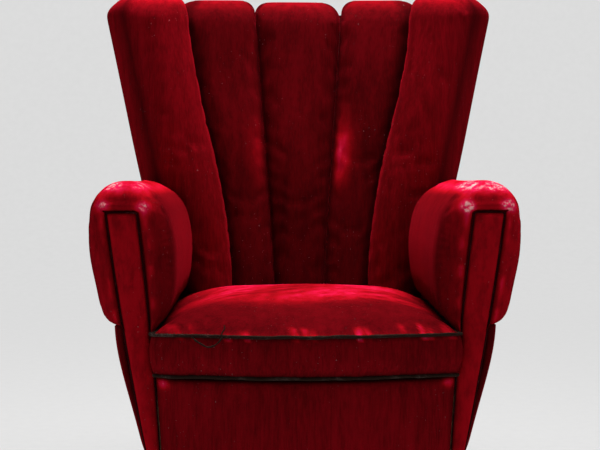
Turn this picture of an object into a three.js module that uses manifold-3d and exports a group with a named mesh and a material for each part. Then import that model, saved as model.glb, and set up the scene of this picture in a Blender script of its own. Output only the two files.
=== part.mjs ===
// A high channel-back armchair in velvet with dark piping, as an upholsterer would take it apart: a beech frame
// on turned feet, webbing, tied coil springs, hessian, a stuffed deck, five back channels, two roll-over arms with
// front facings, thin outside covers and a loose boxed seat cushion.
// Millimetres, +Z up. The front faces -Y, and right is +X, seen from the front. The group's origin is on the floor
// under the middle of the whole chair. Inside this file y = 0 is the plane of the arm fronts.
import * as THREE from "three";
import Module from "manifold-3d";
import { mergeVertices } from "three/addons/utils/BufferGeometryUtils.js";

const wasm = await Module();
wasm.setup();

// ---- Driving dimensions ----
const GAP = 0.4; // between pieces that touch
const ORIGIN_BEHIND_FRONT = 345.7; // from the arm fronts back to the middle of the chair

const GLIDE_HEIGHT = 5;
const GLIDE_RADIUS = 12;
const FRAME_BOTTOM = 125; // underside of the seat rails
const RAIL_TOP = 200;
const RAIL_THICK = 28;
const FRONT_FOOT = { x: 250, y: 30, splay: 0.03 };
const REAR_FOOT = { x: 196, y: 520, splay: -0.16 };
const FOOT_TOP_RADIUS = 25;
const FOOT_BOTTOM_RADIUS = 15;

const DECK_BOTTOM = 290;
const DECK_TOP = 318;
const CUSHION_BOTTOM = 320;
const CUSHION_EDGE = 398; // height of the upper piping
const CUSHION_CROWN = 34; // how far the middle stands above the piping
const CUSHION_HALF_WIDTH = 270;
const CUSHION_FRONT = -14; // at its front corners
const FRONT_BOW = 50; // how far the front stands out in the middle
const FRONT_HALF_WIDTH = 287; // the bow dies out here
const CUSHION_BACK = 472;
const PIPING_RADIUS = 3;

const TOE_IN = 0.04; // sideways narrowing of the seat per millimetre of depth
const ARM_FALL = 0.07; // drop of the arm tops per millimetre of depth
const ARM_LENGTH = 560;
const ROLL_BOTTOM = 410; // underside of the outer roll
const LEG_BOTTOM = 340; // the inside of the arm ends here, behind the cushion
const FACING_TOP = 624;
const ARM_RAIL = { bottom: 560, top: 592 };
const POST_WIDTH = 26;

const BACK_PLANE = 583; // y of the back of the channels at the height BACK_PLANE_Z
const BACK_PLANE_Z = 300;
const RAKE = Math.tan(THREE.MathUtils.degToRad(11));
const PAD_BOTTOM = 322;
const LIP_BOTTOM = 444; // above this the wings wrap round the outside of the back frame
const CREST_BOTTOM = 962;
const CREST_TOP = 1000;
const CENTRE_TOP = 1028;
const INNER_TOP = 1032;
const WING_TOP = 1040;
const CHANNEL_THICK = 88;
const WING_THICK = 100;
const FRAME_FRONT = -7; // the back frame lies between these depths behind the channels
const FRAME_BACK = -35;
const OUTER_COVER = { front: -37.5, back: -44 };

// ---- Materials ----
const material = (color, roughness, metalness = 0) => new THREE.MeshStandardMaterial({ color, roughness, metalness });
const velvet = material(0x6e0812, 0.85);
const piping = material(0x2a1c19, 0.8);
const beech = material(0xb98a58, 0.6);
const walnut = material(0x3a2015, 0.45);
const steel = material(0x6d6f72, 0.4, 1);
const hessian = material(0xa58a5f, 0.95);
const webbingJute = material(0x8c7348, 0.95);
const stuffing = material(0xd8cdb8, 0.95);
const blackCloth = material(0x1d1b1b, 0.9);

// ---- Shape functions ----
const smooth = (t) => {
  const c = THREE.MathUtils.clamp(t, 0, 1);
  return c * c * (3 - 2 * c);
};
const mix = THREE.MathUtils.lerp;

// Half the width over the outside covers, at the height z and the depth y. It swells upwards like a tulip.
const sideHalfWidth = (z, y) => 286 + 65 * smooth((z - 80) / 340) - y * mix(0.07, TOE_IN, smooth((z - 120) / 290));
// The middle line and half the width of the front facing, from the floor end up.
const facingMiddle = (z) => 281 + 0.123 * (z - 120);
const facingHalfWidth = (z) => 28 - 19 * ((FACING_TOP - z) / 504) ** 2;
// The outer face of the raked front post.
const postOuter = (z) => 279.5 + 0.183 * (z - FRAME_BOTTOM);

// The seams between the channels fan out upwards: the inner one is straight, the wing seam an S.
const innerSeam = (z) => 56 + 0.0715 * (z - 430);
const wingSeam = (z) => 172 + 105 * smooth((z - 400) / 640);
const wingEdge = (z) => 328 + 0.2137 * (z - 653);

// The back of the channels curves forwards: a shallow barrel, then a bend into the wings.
const BARREL = 0.2;
const WING_TURN = 0.4;
const BEND = 80;
const backForward = (x, z) => {
  const g = wingSeam(z);
  const t = (Math.abs(x) - g + BEND / 2) / BEND;
  const turned = t <= 0 ? 0 : t < 1 ? t ** 3 - t ** 4 / 2 : t - 0.5;
  const share = 0.5 + 0.5 * smooth((z - 250) / 500);
  return share * ((BARREL * x * x) / (2 * g) + WING_TURN * BEND * turned);
};
// The point n in front of the back plane, at x along it and at the height z.
const backPoint = (x, n, z) => {
  const slope = (backForward(x + 0.5, z) - backForward(x - 0.5, z)) / 1;
  const size = Math.hypot(1, slope);
  const plane = BACK_PLANE + (z - BACK_PLANE_Z) * RAKE - backForward(x, z);
  return new THREE.Vector3(x - (n * slope) / size, plane - n / size, z);
};
// Half the width of the back frame and its outer cover.
const backHalfWidth = (z) => (z < 410 ? sideHalfWidth(z, 545) : mix(sideHalfWidth(410, 545), 340, smooth((z - 410) / 243)));

// ---- Geometry helpers ----
// Moves each vertex of a closed geometry to place(vertex), and turns its faces outwards.
function shaped(geometry, place) {
  geometry.deleteAttribute("normal");
  geometry.deleteAttribute("uv");
  const merged = mergeVertices(geometry, 1e-4);
  const position = merged.attributes.position;
  const v = new THREE.Vector3();
  for (let i = 0; i < position.count; i++) {
    v.fromBufferAttribute(position, i);
    position.setXYZ(i, ...place(v).toArray());
  }
  return outward(merged);
}

function outward(geometry) {
  const position = geometry.attributes.position;
  const index = geometry.index.array;
  const [a, b, c] = [new THREE.Vector3(), new THREE.Vector3(), new THREE.Vector3()];
  let volume = 0;
  for (let i = 0; i < index.length; i += 3) {
    a.fromBufferAttribute(position, index[i]);
    b.fromBufferAttribute(position, index[i + 1]);
    c.fromBufferAttribute(position, index[i + 2]);
    volume += a.dot(b.cross(c));
  }
  if (volume < 0) {
    for (let i = 0; i < index.length; i += 3) [index[i + 1], index[i + 2]] = [index[i + 2], index[i + 1]];
  }
  return geometry;
}

// A box of a by b by c cells whose corners run from -1 to 1, placed by place(a, b, c).
const block = (a, b, c, place) =>
  shaped(new THREE.BoxGeometry(2, 2, 2, a, b, c), (v) => place(v.x, v.y, v.z));

// A closed solid through sections at rising heights. section(level) gives a ring of points, all of one count.
function lofted(count, levels, section) {
  const rings = Array.from({ length: levels }, (_, level) => section(level));
  const middles = rings.map((ring) =>
    ring.reduce((sum, p) => sum.add(p), new THREE.Vector3()).divideScalar(ring.length),
  );
  return shaped(new THREE.CylinderGeometry(1, 1, 1, count, levels - 1), (v) => {
    const level = Math.round((v.y + 0.5) * (levels - 1));
    const k = Math.round((Math.atan2(v.x, v.z) / (2 * Math.PI) + 1) * count) % count;
    return middles[level].clone().lerp(rings[level][k], Math.min(1, Math.hypot(v.x, v.z)));
  });
}

// A round bar of the given radius along a curve.
function bar(curve, radius, steps, sides) {
  const section = new THREE.Shape(
    Array.from({ length: sides }, (_, k) => {
      const angle = (2 * Math.PI * k) / sides;
      return new THREE.Vector2(radius * Math.cos(angle), radius * Math.sin(angle));
    }),
  );
  return shaped(new THREE.ExtrudeGeometry(section, { steps, extrudePath: curve, bevelEnabled: false }), (v) => v);
}

const solidOf = (geometry) =>
  new wasm.Manifold(
    new wasm.Mesh({
      numProp: 3,
      vertProperties: new Float32Array(geometry.attributes.position.array),
      triVerts: new Uint32Array(geometry.index.array),
    }),
  );

function geometryOf(solid) {
  const mesh = solid.getMesh();
  return new THREE.BufferGeometry()
    .setAttribute("position", new THREE.BufferAttribute(mesh.vertProperties, 3))
    .setIndex(new THREE.BufferAttribute(mesh.triVerts, 1));
}

const chair = new THREE.Group();
chair.name = "armchair";
chair.position.y = -ORIGIN_BEHIND_FRONT;

function add(name, geometry, look) {
  const mesh = new THREE.Mesh(geometry, look);
  mesh.name = name;
  chair.add(mesh);
  return mesh;
}

// The same piece on both sides. The geometry is the right-hand one, and its mirror image goes to the left.
function addPair(name, geometry, look) {
  add(`right_${name}`, geometry, look);
  add(`left_${name}`, geometry, look).scale.x = -1;
}

// ---- Feet and glides ----
// A turned taper with a small collar, leaning as the leg splays.
function foot({ splay }) {
  const profile = [
    [0, GLIDE_HEIGHT],
    [FOOT_BOTTOM_RADIUS, GLIDE_HEIGHT],
    [FOOT_BOTTOM_RADIUS + 1, 12],
    [FOOT_TOP_RADIUS - 2, 104],
    [FOOT_TOP_RADIUS, 108],
    [FOOT_TOP_RADIUS, FRAME_BOTTOM - GAP],
    [0, FRAME_BOTTOM - GAP],
  ].map(([r, z]) => new THREE.Vector2(r, z));
  return shaped(new THREE.LatheGeometry(profile, 16), (v) => {
    const lean = (v.y - FRAME_BOTTOM) * splay;
    return new THREE.Vector3(v.x, -v.z - lean, v.y);
  });
}

function glide() {
  const profile = [
    [0, 0],
    [GLIDE_RADIUS - 2, 0],
    [GLIDE_RADIUS, 2],
    [GLIDE_RADIUS, GLIDE_HEIGHT - GAP],
    [0, GLIDE_HEIGHT - GAP],
  ].map(([r, z]) => new THREE.Vector2(r, z));
  return shaped(new THREE.LatheGeometry(profile, 16), (v) => new THREE.Vector3(v.x, -v.z, v.y));
}

for (const [place, spot] of Object.entries({ front: FRONT_FOOT, rear: REAR_FOOT })) {
  const lean = -(GLIDE_HEIGHT - FRAME_BOTTOM) * spot.splay;
  addPair(`${place}_foot`, foot(spot).translate(spot.x, spot.y, 0), walnut);
  addPair(`${place}_glide`, glide().translate(spot.x, spot.y + lean, 0), steel);
}

// ---- Seat frame ----
const bow = (x) => FRONT_BOW * (1 - (x / FRONT_HALF_WIDTH) ** 2);

add(
  "front_seat_rail",
  block(10, 1, 1, (a, b, c) => {
    const x = a * 252;
    return new THREE.Vector3(x, 26 + b * 13 - bow(x), mix(FRAME_BOTTOM, RAIL_TOP, (c + 1) / 2));
  }),
  beech,
);
add(
  "rear_seat_rail",
  block(8, 1, 1, (a, b, c) =>
    backPoint(a * 186, mix(FRAME_FRONT, FRAME_BACK, (b + 1) / 2), mix(FRAME_BOTTOM, RAIL_TOP, (c + 1) / 2)),
  ),
  beech,
);
const sideRailMiddle = (y) => 250 - 0.07 * y;
addPair(
  "seat_rail",
  block(1, 1, 1, (a, b, c) => {
    const y = mix(57, 554, (b + 1) / 2);
    const x = sideRailMiddle(y) + (a * RAIL_THICK) / 2;
    return new THREE.Vector3(x, y, mix(FRAME_BOTTOM, RAIL_TOP, (c + 1) / 2));
  }),
  beech,
);

// Triangular glue blocks in the four corners, a little lower than the rails.
function cornerBlock(corners) {
  const outline = new THREE.Shape(corners.map(([x, y]) => new THREE.Vector2(x, y)));
  return shaped(new THREE.ExtrudeGeometry(outline, { depth: 50, bevelEnabled: false }), (v) =>
    v.setZ(v.z + FRAME_BOTTOM + 10),
  );
}
addPair("front_corner_block", cornerBlock([[230, 23], [168, 7.5], [227, 118]]), beech);
addPair("rear_corner_block", cornerBlock([[198, 537], [140, 546], [202.5, 470]]), beech);

// ---- Arm frame ----
// Anything in the arm leans inwards and falls towards the back.
const armPlace = (x, y, z) =>
  new THREE.Vector3(x - TOE_IN * y, y, z - ARM_FALL * y * THREE.MathUtils.clamp((z - 430) / 220, 0, 1));

addPair(
  "front_post",
  block(1, 1, 4, (a, b, c) => {
    const z = mix(FRAME_BOTTOM, ARM_RAIL.bottom - GAP, (c + 1) / 2);
    return armPlace(postOuter(z) - ((1 - a) / 2) * POST_WIDTH, 36 + b * 20, z);
  }),
  beech,
);
addPair(
  "arm_rail",
  block(1, 1, 1, (a, b, c) => {
    const z = c > 0 ? ARM_RAIL.top : ARM_RAIL.bottom;
    return armPlace(postOuter(z) - ((1 - a) / 2) * POST_WIDTH, mix(16.5, 440, (b + 1) / 2), z);
  }),
  beech,
);

// ---- Back frame ----
addPair(
  "back_post",
  block(1, 1, 8, (a, b, c) => {
    const z = mix(RAIL_TOP + GAP, CREST_BOTTOM - GAP, (c + 1) / 2);
    return backPoint(backHalfWidth(z) * 0.6 + a * 19, mix(FRAME_FRONT, FRAME_BACK, (b + 1) / 2), z);
  }),
  beech,
);
addPair(
  "wing_post",
  block(1, 1, 5, (a, b, c) => {
    const z = mix(610, CREST_BOTTOM - GAP, (c + 1) / 2);
    return backPoint(mix(wingSeam(z), wingEdge(z), 0.6) + a * 17, mix(FRAME_FRONT, FRAME_BACK, (b + 1) / 2), z);
  }),
  beech,
);
add(
  "crest_rail",
  block(22, 1, 1, (a, b, c) => {
    const z = mix(CREST_BOTTOM, CREST_TOP, (c + 1) / 2);
    return backPoint(a * mix(wingSeam(z), wingEdge(z), 0.78), mix(FRAME_FRONT, FRAME_BACK, (b + 1) / 2), z);
  }),
  beech,
);
add(
  "lower_back_rail",
  block(8, 1, 1, (a, b, c) => {
    const z = mix(330, 372, (c + 1) / 2);
    return backPoint(a * (backHalfWidth(z) * 0.6 - 24), mix(FRAME_FRONT, FRAME_BACK, (b + 1) / 2), z);
  }),
  beech,
);

// ---- Seat suspension ----
// Four straps each way, tacked under the rails, woven into one flat lattice.
function webbing() {
  const half = 26;
  const bottom = FRAME_BOTTOM - 3;
  const straps = [];
  for (const y of [100, 210, 320, 430]) {
    straps.push(
      block(1, 1, 1, (a, b, c) => new THREE.Vector3(a * sideRailMiddle(y), y + b * half, bottom + (c > 0 ? 2.6 : 0.2))),
    );
  }
  for (const x of [-132, -44, 44, 132]) {
    straps.push(
      block(1, 1, 1, (a, b, c) => {
        const across = x + a * half;
        return new THREE.Vector3(across, b > 0 ? 550 : 26 - bow(across), bottom + (c > 0 ? 2.4 : 0));
      }),
    );
  }
  return geometryOf(straps.map(solidOf).reduce((whole, strap) => whole.add(strap)));
}
add("seat_webbing", webbing(), webbingJute);

// An hourglass coil spring with flat-closed ends.
const SPRING_TURNS = 4;
const WIRE_RADIUS = 1.9;
class Coil extends THREE.Curve {
  getPoint(t) {
    const angle = 2 * Math.PI * SPRING_TURNS * t;
    const closed = mix(t, smooth(t), 0.6);
    const radius = 30 + 20 * (2 * t - 1) ** 2;
    return new THREE.Vector3(
      radius * Math.cos(angle),
      radius * Math.sin(angle),
      mix(FRAME_BOTTOM + WIRE_RADIUS, DECK_BOTTOM - 2.4 - WIRE_RADIUS, closed),
    );
  }
}
const springRows = { front: 95, middle: 265, rear: 435 };
for (const [row, y] of Object.entries(springRows)) {
  const spread = 140 - 0.05 * y;
  for (const [side, x] of Object.entries({ left: -spread, centre: 0, right: spread })) {
    add(`${row}_${side}_spring`, bar(new Coil(), WIRE_RADIUS, SPRING_TURNS * 7, 4).translate(x, y, 0), steel);
  }
}

// ---- Deck ----
const seatBack = (x) => -45 * (x / 260) ** 2;
// A sheet or a pad over the springs, its rim drawn down to the rails. It is bowed at the front like the rail and
// hollowed at the back like the channels.
function overSprings(halfWidth, front, back, topOf, undersideOf) {
  return block(12, 10, 1, (a, b, c) => {
    const t = (b + 1) / 2;
    const x = a * (halfWidth - TOE_IN * mix(front, back, t));
    const y = mix(front - bow(x), back + seatBack(x), t);
    const rim = smooth((Math.max(Math.abs(a), Math.abs(b)) - 0.82) / 0.18);
    return new THREE.Vector3(x, y, c > 0 ? topOf(rim) : undersideOf(rim));
  });
}
const sheetTop = (rim) => mix(DECK_BOTTOM - GAP, RAIL_TOP + 2, rim);
const deckUnderside = (rim) => mix(DECK_BOTTOM + 3, RAIL_TOP + 48, rim);
add("seat_hessian", overSprings(262, 30, 526, sheetTop, (rim) => sheetTop(rim) - 1.6), hessian);
add("seat_deck", overSprings(267, 14, 540, () => DECK_TOP, deckUnderside), stuffing);

// ---- Loose seat cushion ----
// Boxed and crowned: upright sides between two piped edges, with the top and the underside swelling in the middle.
const CORNER_ROUNDING = 0.07;
const cushionOutline = (acrossAt, alongAt, inset) => {
  const a = acrossAt * (1 - CORNER_ROUNDING * alongAt ** 8);
  const b = alongAt * (1 - CORNER_ROUNDING * acrossAt ** 8);
  const t = (b + 1) / 2;
  const x = a * (CUSHION_HALF_WIDTH - inset - TOE_IN * mix(CUSHION_FRONT, CUSHION_BACK, t));
  const front = CUSHION_FRONT + inset - bow(x);
  const back = CUSHION_BACK - inset + seatBack(x);
  return [x, mix(front, back, t)];
};
const cushionCrown = (a, b) => {
  const backWards = (b + 1) / 2;
  return CUSHION_CROWN * (1 - a ** 4) * (1 - (1 - backWards) ** 6) * (1 - 0.55 * backWards ** 6);
};
function cushionSolid(inset) {
  return block(10, 9, 1, (a, b, c) => {
    const [x, y] = cushionOutline(a, b, inset);
    const top = CUSHION_EDGE - inset + cushionCrown(a, b);
    return new THREE.Vector3(x, y, c > 0 ? top : CUSHION_BOTTOM + inset);
  });
}
// The cover is one skin, with its closing seam left open along the back.
const COVER_THICK = 3;
const coverOpening = block(1, 1, 1, (a, b, c) => new THREE.Vector3(a * 180, CUSHION_BACK + b * 60, 359 + c * 12));
add(
  "seat_cushion_cover",
  geometryOf(
    solidOf(cushionSolid(0)).subtract(solidOf(cushionSolid(COVER_THICK))).subtract(solidOf(coverOpening)),
  ),
  velvet,
);
add("seat_cushion_filling", cushionSolid(COVER_THICK + GAP), stuffing);

// Piping runs round the cushion's edge from the middle of the back and back to it, its ends a hair apart.
function edgePiping(standOff, z) {
  const steps = (from, to, count) => Array.from({ length: count }, (_, i) => mix(from, to, i / count));
  const places = [
    ...[0.006, ...steps(0.2, 1, 4)].map((a) => [a, 1]),
    ...steps(1, -1, 9).map((b) => [1, b]),
    ...steps(1, -1, 10).map((a) => [a, -1]),
    ...steps(-1, 1, 9).map((b) => [-1, b]),
    ...[...steps(-1, -0.2, 4), -0.2, -0.006].map((a) => [a, 1]),
  ];
  const points = places.map(([a, b]) => new THREE.Vector3(...cushionOutline(a, b, -standOff), z));
  return bar(new THREE.CatmullRomCurve3(points, false, "centripetal"), PIPING_RADIUS, 66, 5);
}
add("cushion_top_piping", edgePiping(3.2, CUSHION_EDGE + 3.2), piping);
add("cushion_bottom_piping", edgePiping(4.4, CUSHION_BOTTOM + 2), piping);

// ---- Front border, under the cushion ----
const borderHalfWidth = (z) => facingMiddle(z) - facingHalfWidth(z) - 8;
add(
  "front_border",
  block(14, 1, 4, (a, b, c) => {
    const z = mix(FRAME_BOTTOM - 5, DECK_TOP - 2, (c + 1) / 2);
    const x = a * borderHalfWidth(z);
    const front = -10 + 5 * a ** 8;
    return new THREE.Vector3(x, (b < 0 ? front : 13 - GAP) - bow(x), z);
  }),
  velvet,
);

// ---- Arms ----
// The arm pad's outline from the front: over the roll from the bottom of its outer lobe to the seat, with the
// hollow for the post and the rail cut up into it.
const HOLLOW_MARGIN = 1.2;
function armOutline() {
  const through = (...points) => new THREE.SplineCurve(points.map((p) => new THREE.Vector2(...p))).getPoints(14);
  const outer = through([358, 411], [380, 425], [397, 480], [409, 545], [407, 620], [389, 663], [350, 681]);
  const inner = through([350, 681], [300, 668], [263, 628], [245, 560], [244, 490], [258, 432], [284, 398]);
  const hollowOuter = (z) => new THREE.Vector2(postOuter(z) + HOLLOW_MARGIN, z);
  const hollowInner = (z) => new THREE.Vector2(postOuter(z) - POST_WIDTH - HOLLOW_MARGIN, z);
  const hollowTop = ARM_RAIL.top + HOLLOW_MARGIN;
  return new THREE.Shape([
    hollowOuter(ROLL_BOTTOM),
    ...outer,
    ...inner.slice(1),
    new THREE.Vector2(284, LEG_BOTTOM),
    hollowInner(LEG_BOTTOM),
    hollowInner(hollowTop),
    hollowOuter(hollowTop),
  ]);
}
// The roll is drawn in round the facing at the front and round its own core at the rear.
const PINCH = [[0, 0.46], [7, 0.72], [25, 0.9], [70, 1], [230, 1], [390, 1], [525, 1], [552, 0.8], [ARM_LENGTH, 0.5]];
function pinched(x, z, share) {
  const middle = facingMiddle(z);
  const half = facingHalfWidth(Math.min(z, FACING_TOP));
  const nearX = THREE.MathUtils.clamp(x, middle - half, middle + half);
  const nearZ = Math.min(z, FACING_TOP);
  return [mix(nearX, x, share), mix(nearZ, z, share)];
}
const armBlank = shaped(
  new THREE.ExtrudeGeometry(armOutline(), { depth: 1, steps: PINCH.length - 1, bevelEnabled: false }),
  (v) => {
    const [depth, share] = PINCH[Math.round(v.z * (PINCH.length - 1))];
    const [x, z] = pinched(v.x, v.y, share);
    return armPlace(x, depth * mix(0.88, 1, smooth((x - 290) / 70)), z);
  },
);

// ---- Back channels ----
// One channel: a padded strip between two seams, rounded to the front, domed over the crest rail.
function channel(from, to, thick, top, wing, grow = 0) {
  const levels = [PAD_BOTTOM, LIP_BOTTOM - 1, LIP_BOTTOM + 1, 530, 620, 700, 780, 860, 940, CREST_TOP + 0.6, CREST_TOP + 1.6];
  const dome = [0.45, 0.72, 0.9, 1].map((t) => mix(CREST_TOP + 1.6, top, t));
  const heights = [...levels, ...dome];
  return lofted(15, heights.length, (level) => {
    const z = heights[level];
    const over = level >= levels.length - 1; // above the rail the pad reaches back over it
    const t = Math.max(0, (z - (top - 40)) / 40);
    const round = 1 - Math.sqrt(Math.max(0, 1 - t * t));
    const inset = 24 * round - grow;
    const front = thick - 30 * round + grow;
    const rear = (over ? FRAME_BACK - 8 + 14 * round : 0) - grow;
    const lip = !over && wing && z > LIP_BOTTOM ? FRAME_BACK - 8 : rear;
    const [left, right] = [from(z) + 0.6 + inset, to(z) - 0.6 - inset];
    const across = (u) => mix(left, right, u);
    return [
      [0, rear],
      [0, 0.35 * front],
      [0.015, 0.72 * front],
      [0.07, 0.92 * front],
      [0.25, front],
      [0.5, front * 1.03],
      [0.75, front],
      [0.93, 0.92 * front],
      [0.985, 0.72 * front],
      [1, 0.35 * front],
      [1, lip],
      [0.82, lip],
      [0.815, rear],
      [0.55, rear],
      [0.27, rear],
    ].map(([u, n]) => backPoint(across(u), n, z));
  });
}
const minus = (f) => (z) => -f(z);
add("centre_channel", channel(minus(innerSeam), innerSeam, CHANNEL_THICK, CENTRE_TOP, false), velvet);
addPair("inner_channel", channel(innerSeam, wingSeam, CHANNEL_THICK, INNER_TOP, false), velvet);
const wingChannel = (grow) => channel(wingSeam, wingEdge, WING_THICK, WING_TOP, true, grow);
addPair("wing_channel", wingChannel(0), velvet);

// ---- Facings and their piping ----
// A facing widens upwards and has a rounded head. The margin grows it all round.
function facing(from, to, front, back, margin, dished) {
  return block(4, 1, 12, (a, b, c) => {
    const t = (c + 1) / 2;
    const z = mix(from, to + margin, 1 - (1 - t) ** 1.5);
    const head = THREE.MathUtils.clamp((z - (to + margin - 14)) / 14, 0, 1);
    const half = facingHalfWidth(Math.min(z, to)) + margin - 14 * (1 - Math.sqrt(1 - head * head));
    return new THREE.Vector3(facingMiddle(z) + a * half, b < 0 ? front + dished * a * a : back, z);
  });
}
addPair("arm_facing", facing(FRAME_BOTTOM - 3, FACING_TOP, -9, 15, -1, 5), velvet);

// Up one side of the facing, round its head and down the other side.
function facingPiping() {
  const points = [];
  const offset = 3.6;
  const bottom = FRAME_BOTTOM;
  const shoulder = FACING_TOP - 14;
  const side = (sign, z) =>
    points.push(new THREE.Vector3(facingMiddle(z) + sign * (facingHalfWidth(z) + offset), -PIPING_RADIUS - 2.4, z));
  for (let i = 0; i <= 6; i++) side(-1, mix(bottom, shoulder, i / 6));
  for (const u of [-0.8, -0.4, 0, 0.4, 0.8]) {
    const z = FACING_TOP + offset - 7 * u ** 4;
    points.push(new THREE.Vector3(facingMiddle(z) + u * 31, -PIPING_RADIUS - 2.4, z));
  }
  for (let i = 6; i >= 0; i--) side(1, mix(bottom, shoulder, i / 6));
  return bar(new THREE.CatmullRomCurve3(points, false, "centripetal"), PIPING_RADIUS, 42, 5);
}
addPair("facing_piping", facingPiping(), piping);

// The arm pad dies into the wing, and its front is let in for the facing.
const facingRecess = facing(FRAME_BOTTOM, FACING_TOP, -20, 15.6, 6.6, 0);
addPair(
  "arm_pad",
  geometryOf(solidOf(armBlank).subtract(solidOf(wingChannel(1.5))).subtract(solidOf(facingRecess))),
  velvet,
);

// ---- Outside covers ----
// The outer back is as wide as the chair below the arms, and above them it lies between the wings' lips. The covers
// outside the arms run back to its face.
const SIDE_COVER_THICK = 6;
const COVER_BOTTOM = FRAME_BOTTOM - 4;
const lowerBackHalf = (z) => backHalfWidth(z) - 14;
const backCoverFace = (z) => backPoint(lowerBackHalf(z), OUTER_COVER.front, z).y - 1;
addPair(
  "outside_arm_cover",
  block(1, 8, 8, (a, b, c) => {
    const z = mix(COVER_BOTTOM, ROLL_BOTTOM - 3, (c + 1) / 2);
    const y = mix(16, backCoverFace(z), (b + 1) / 2);
    return new THREE.Vector3(sideHalfWidth(z, y) - (a > 0 ? 0 : SIDE_COVER_THICK), y, z);
  }),
  velvet,
);
const BACK_COVER_LEVELS = [COVER_BOTTOM, 200, 280, 360, LIP_BOTTOM - 9, LIP_BOTTOM - 3, 540, 650, 800, CREST_TOP - 2];
add(
  "outer_back_cover",
  block(16, 1, BACK_COVER_LEVELS.length - 1, (a, b, c) => {
    const z = BACK_COVER_LEVELS[Math.round(((c + 1) / 2) * (BACK_COVER_LEVELS.length - 1))];
    const half = z < LIP_BOTTOM - 5 ? lowerBackHalf(z) : mix(wingSeam(z), wingEdge(z), 0.76);
    const face = OUTER_COVER.front - (Math.abs(z - LIP_BOTTOM) < 10 ? 1.5 : 0); // clear of the posts where it narrows
    return backPoint(a * half, b < 0 ? face : OUTER_COVER.back, z);
  }),
  velvet,
);
add(
  "back_hessian",
  block(12, 1, 6, (a, b, c) => {
    const z = mix(PAD_BOTTOM, CREST_TOP - 4, (c + 1) / 2);
    return backPoint(a * wingSeam(z), mix(-3.2, -4.8, (b + 1) / 2), z);
  }),
  hessian,
);

// ---- Dust cover, tacked underneath and notched round the feet ----
function dustCover() {
  const front = Array.from({ length: 9 }, (_, i) => -216 + 54 * i).map((x) => [x, 22 - bow(x)]);
  const right = [[216, 64], [245, 64], [220, 480], [160, 480], [160, 540]];
  const left = right.map(([x, y]) => [-x, y]).reverse();
  const outline = new THREE.Shape([...front, ...right, ...left].map(([x, y]) => new THREE.Vector2(x, y)));
  return shaped(new THREE.ExtrudeGeometry(outline, { depth: 1.2, bevelEnabled: false }), (v) =>
    v.setZ(v.z + FRAME_BOTTOM - 4.6),
  );
}
add("dust_cover", dustCover(), blackCloth);

export default chair;
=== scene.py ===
"""A velvet channel-back armchair: its stuffed covers, welts, feet and inner frame, on a pale studio floor."""

import math

import bpy
import numpy as np
from bpy.props import FloatProperty, FloatVectorProperty, PointerProperty
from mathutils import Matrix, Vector


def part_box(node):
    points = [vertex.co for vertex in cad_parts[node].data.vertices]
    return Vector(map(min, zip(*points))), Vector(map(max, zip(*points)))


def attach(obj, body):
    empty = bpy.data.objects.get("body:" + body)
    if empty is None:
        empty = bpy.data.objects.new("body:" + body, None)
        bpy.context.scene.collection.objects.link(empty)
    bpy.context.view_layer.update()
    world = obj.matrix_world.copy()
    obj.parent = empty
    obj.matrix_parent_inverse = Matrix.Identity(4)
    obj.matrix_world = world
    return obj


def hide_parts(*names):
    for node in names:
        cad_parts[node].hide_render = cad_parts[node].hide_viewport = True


bl_info = {
    "name": "Channel-back armchair",
    "version": (1, 0, 0),
    "blender": (4, 5, 0),
    "location": "View3D > Sidebar > Armchair",
    "description": "Dresses a chair frame in velvet channels, rolled arms and a boxed cushion",
    "category": "Add Mesh",
}

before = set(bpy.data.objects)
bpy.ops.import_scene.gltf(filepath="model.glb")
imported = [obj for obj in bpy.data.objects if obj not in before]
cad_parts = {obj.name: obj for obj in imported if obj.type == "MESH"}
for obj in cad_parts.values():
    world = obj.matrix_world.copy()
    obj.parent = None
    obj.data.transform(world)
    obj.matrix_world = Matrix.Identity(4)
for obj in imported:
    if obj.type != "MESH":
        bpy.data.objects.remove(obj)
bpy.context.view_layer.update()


def low(node):
    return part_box(node)[0]


def high(node):
    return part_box(node)[1]


# ---- Driving dimensions, in metres. Depths are counted from the plane of the arm fronts. ----
FRONT = low("right_arm_pad").y
RAIL_BOTTOM = low("front_seat_rail").z
DECK_TOP = high("seat_deck").z
PAD_BOTTOM = low("centre_channel").z
CENTRE_TOP = high("centre_channel").z
INNER_TOP = high("right_inner_channel").z
WING_TOP = high("right_wing_channel").z
CREST_TOP = high("crest_rail").z
CUSHION_BOTTOM = low("seat_cushion_cover").z
CUSHION_EDGE = low("cushion_top_piping").z + 0.001
CUSHION_FRONT = -0.014
CUSHION_BACK = 0.472
CUSHION_HALF_WIDTH = 0.278
TORN_LEFT, TORN_RIGHT = -0.212, -0.154
FRONT_BOW = 0.050
FRONT_HALF_WIDTH = 0.287
TOE_IN = 0.04
ARM_FALL = 0.07
ARM_LENGTH = high("right_arm_pad").y - FRONT
ARM_CORE_X, ARM_CORE_Z = 0.325, 0.55
FACING_TOP = 0.624
LIP_BOTTOM = 0.444
FRAME_BACK = -0.035
WAIST = 0.040
GAP = 0.0006
BACK_PLANE = 0.583
BACK_PLANE_Z = 0.300
RAKE = math.tan(math.radians(11))
BARREL, WING_TURN, BEND = 0.2, 0.4, 0.08
SOFT_GIVE, FIRM_GIVE = 0.004, 0.002


# ---- Numbers along curves ----
def mix(a, b, t):
    return a + (b - a) * t


def xyz(x, y, z):
    """Points from their three coordinates, which are broadcast together."""
    return np.stack(np.broadcast_arrays(x, y, z), axis=-1)


def smooth(t):
    t = np.clip(t, 0, 1)
    return t * t * (3 - 2 * t)


def bell(t, width):
    """A bump of height 1 at t = 0 that has sunk to about a third at the given width."""
    return np.exp(-((t / width) ** 2))


def power(t, exponent):
    """t to an exponent, keeping its sign: with sines and cosines this draws a rounded square."""
    return np.sign(t) * np.abs(t) ** exponent


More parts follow.
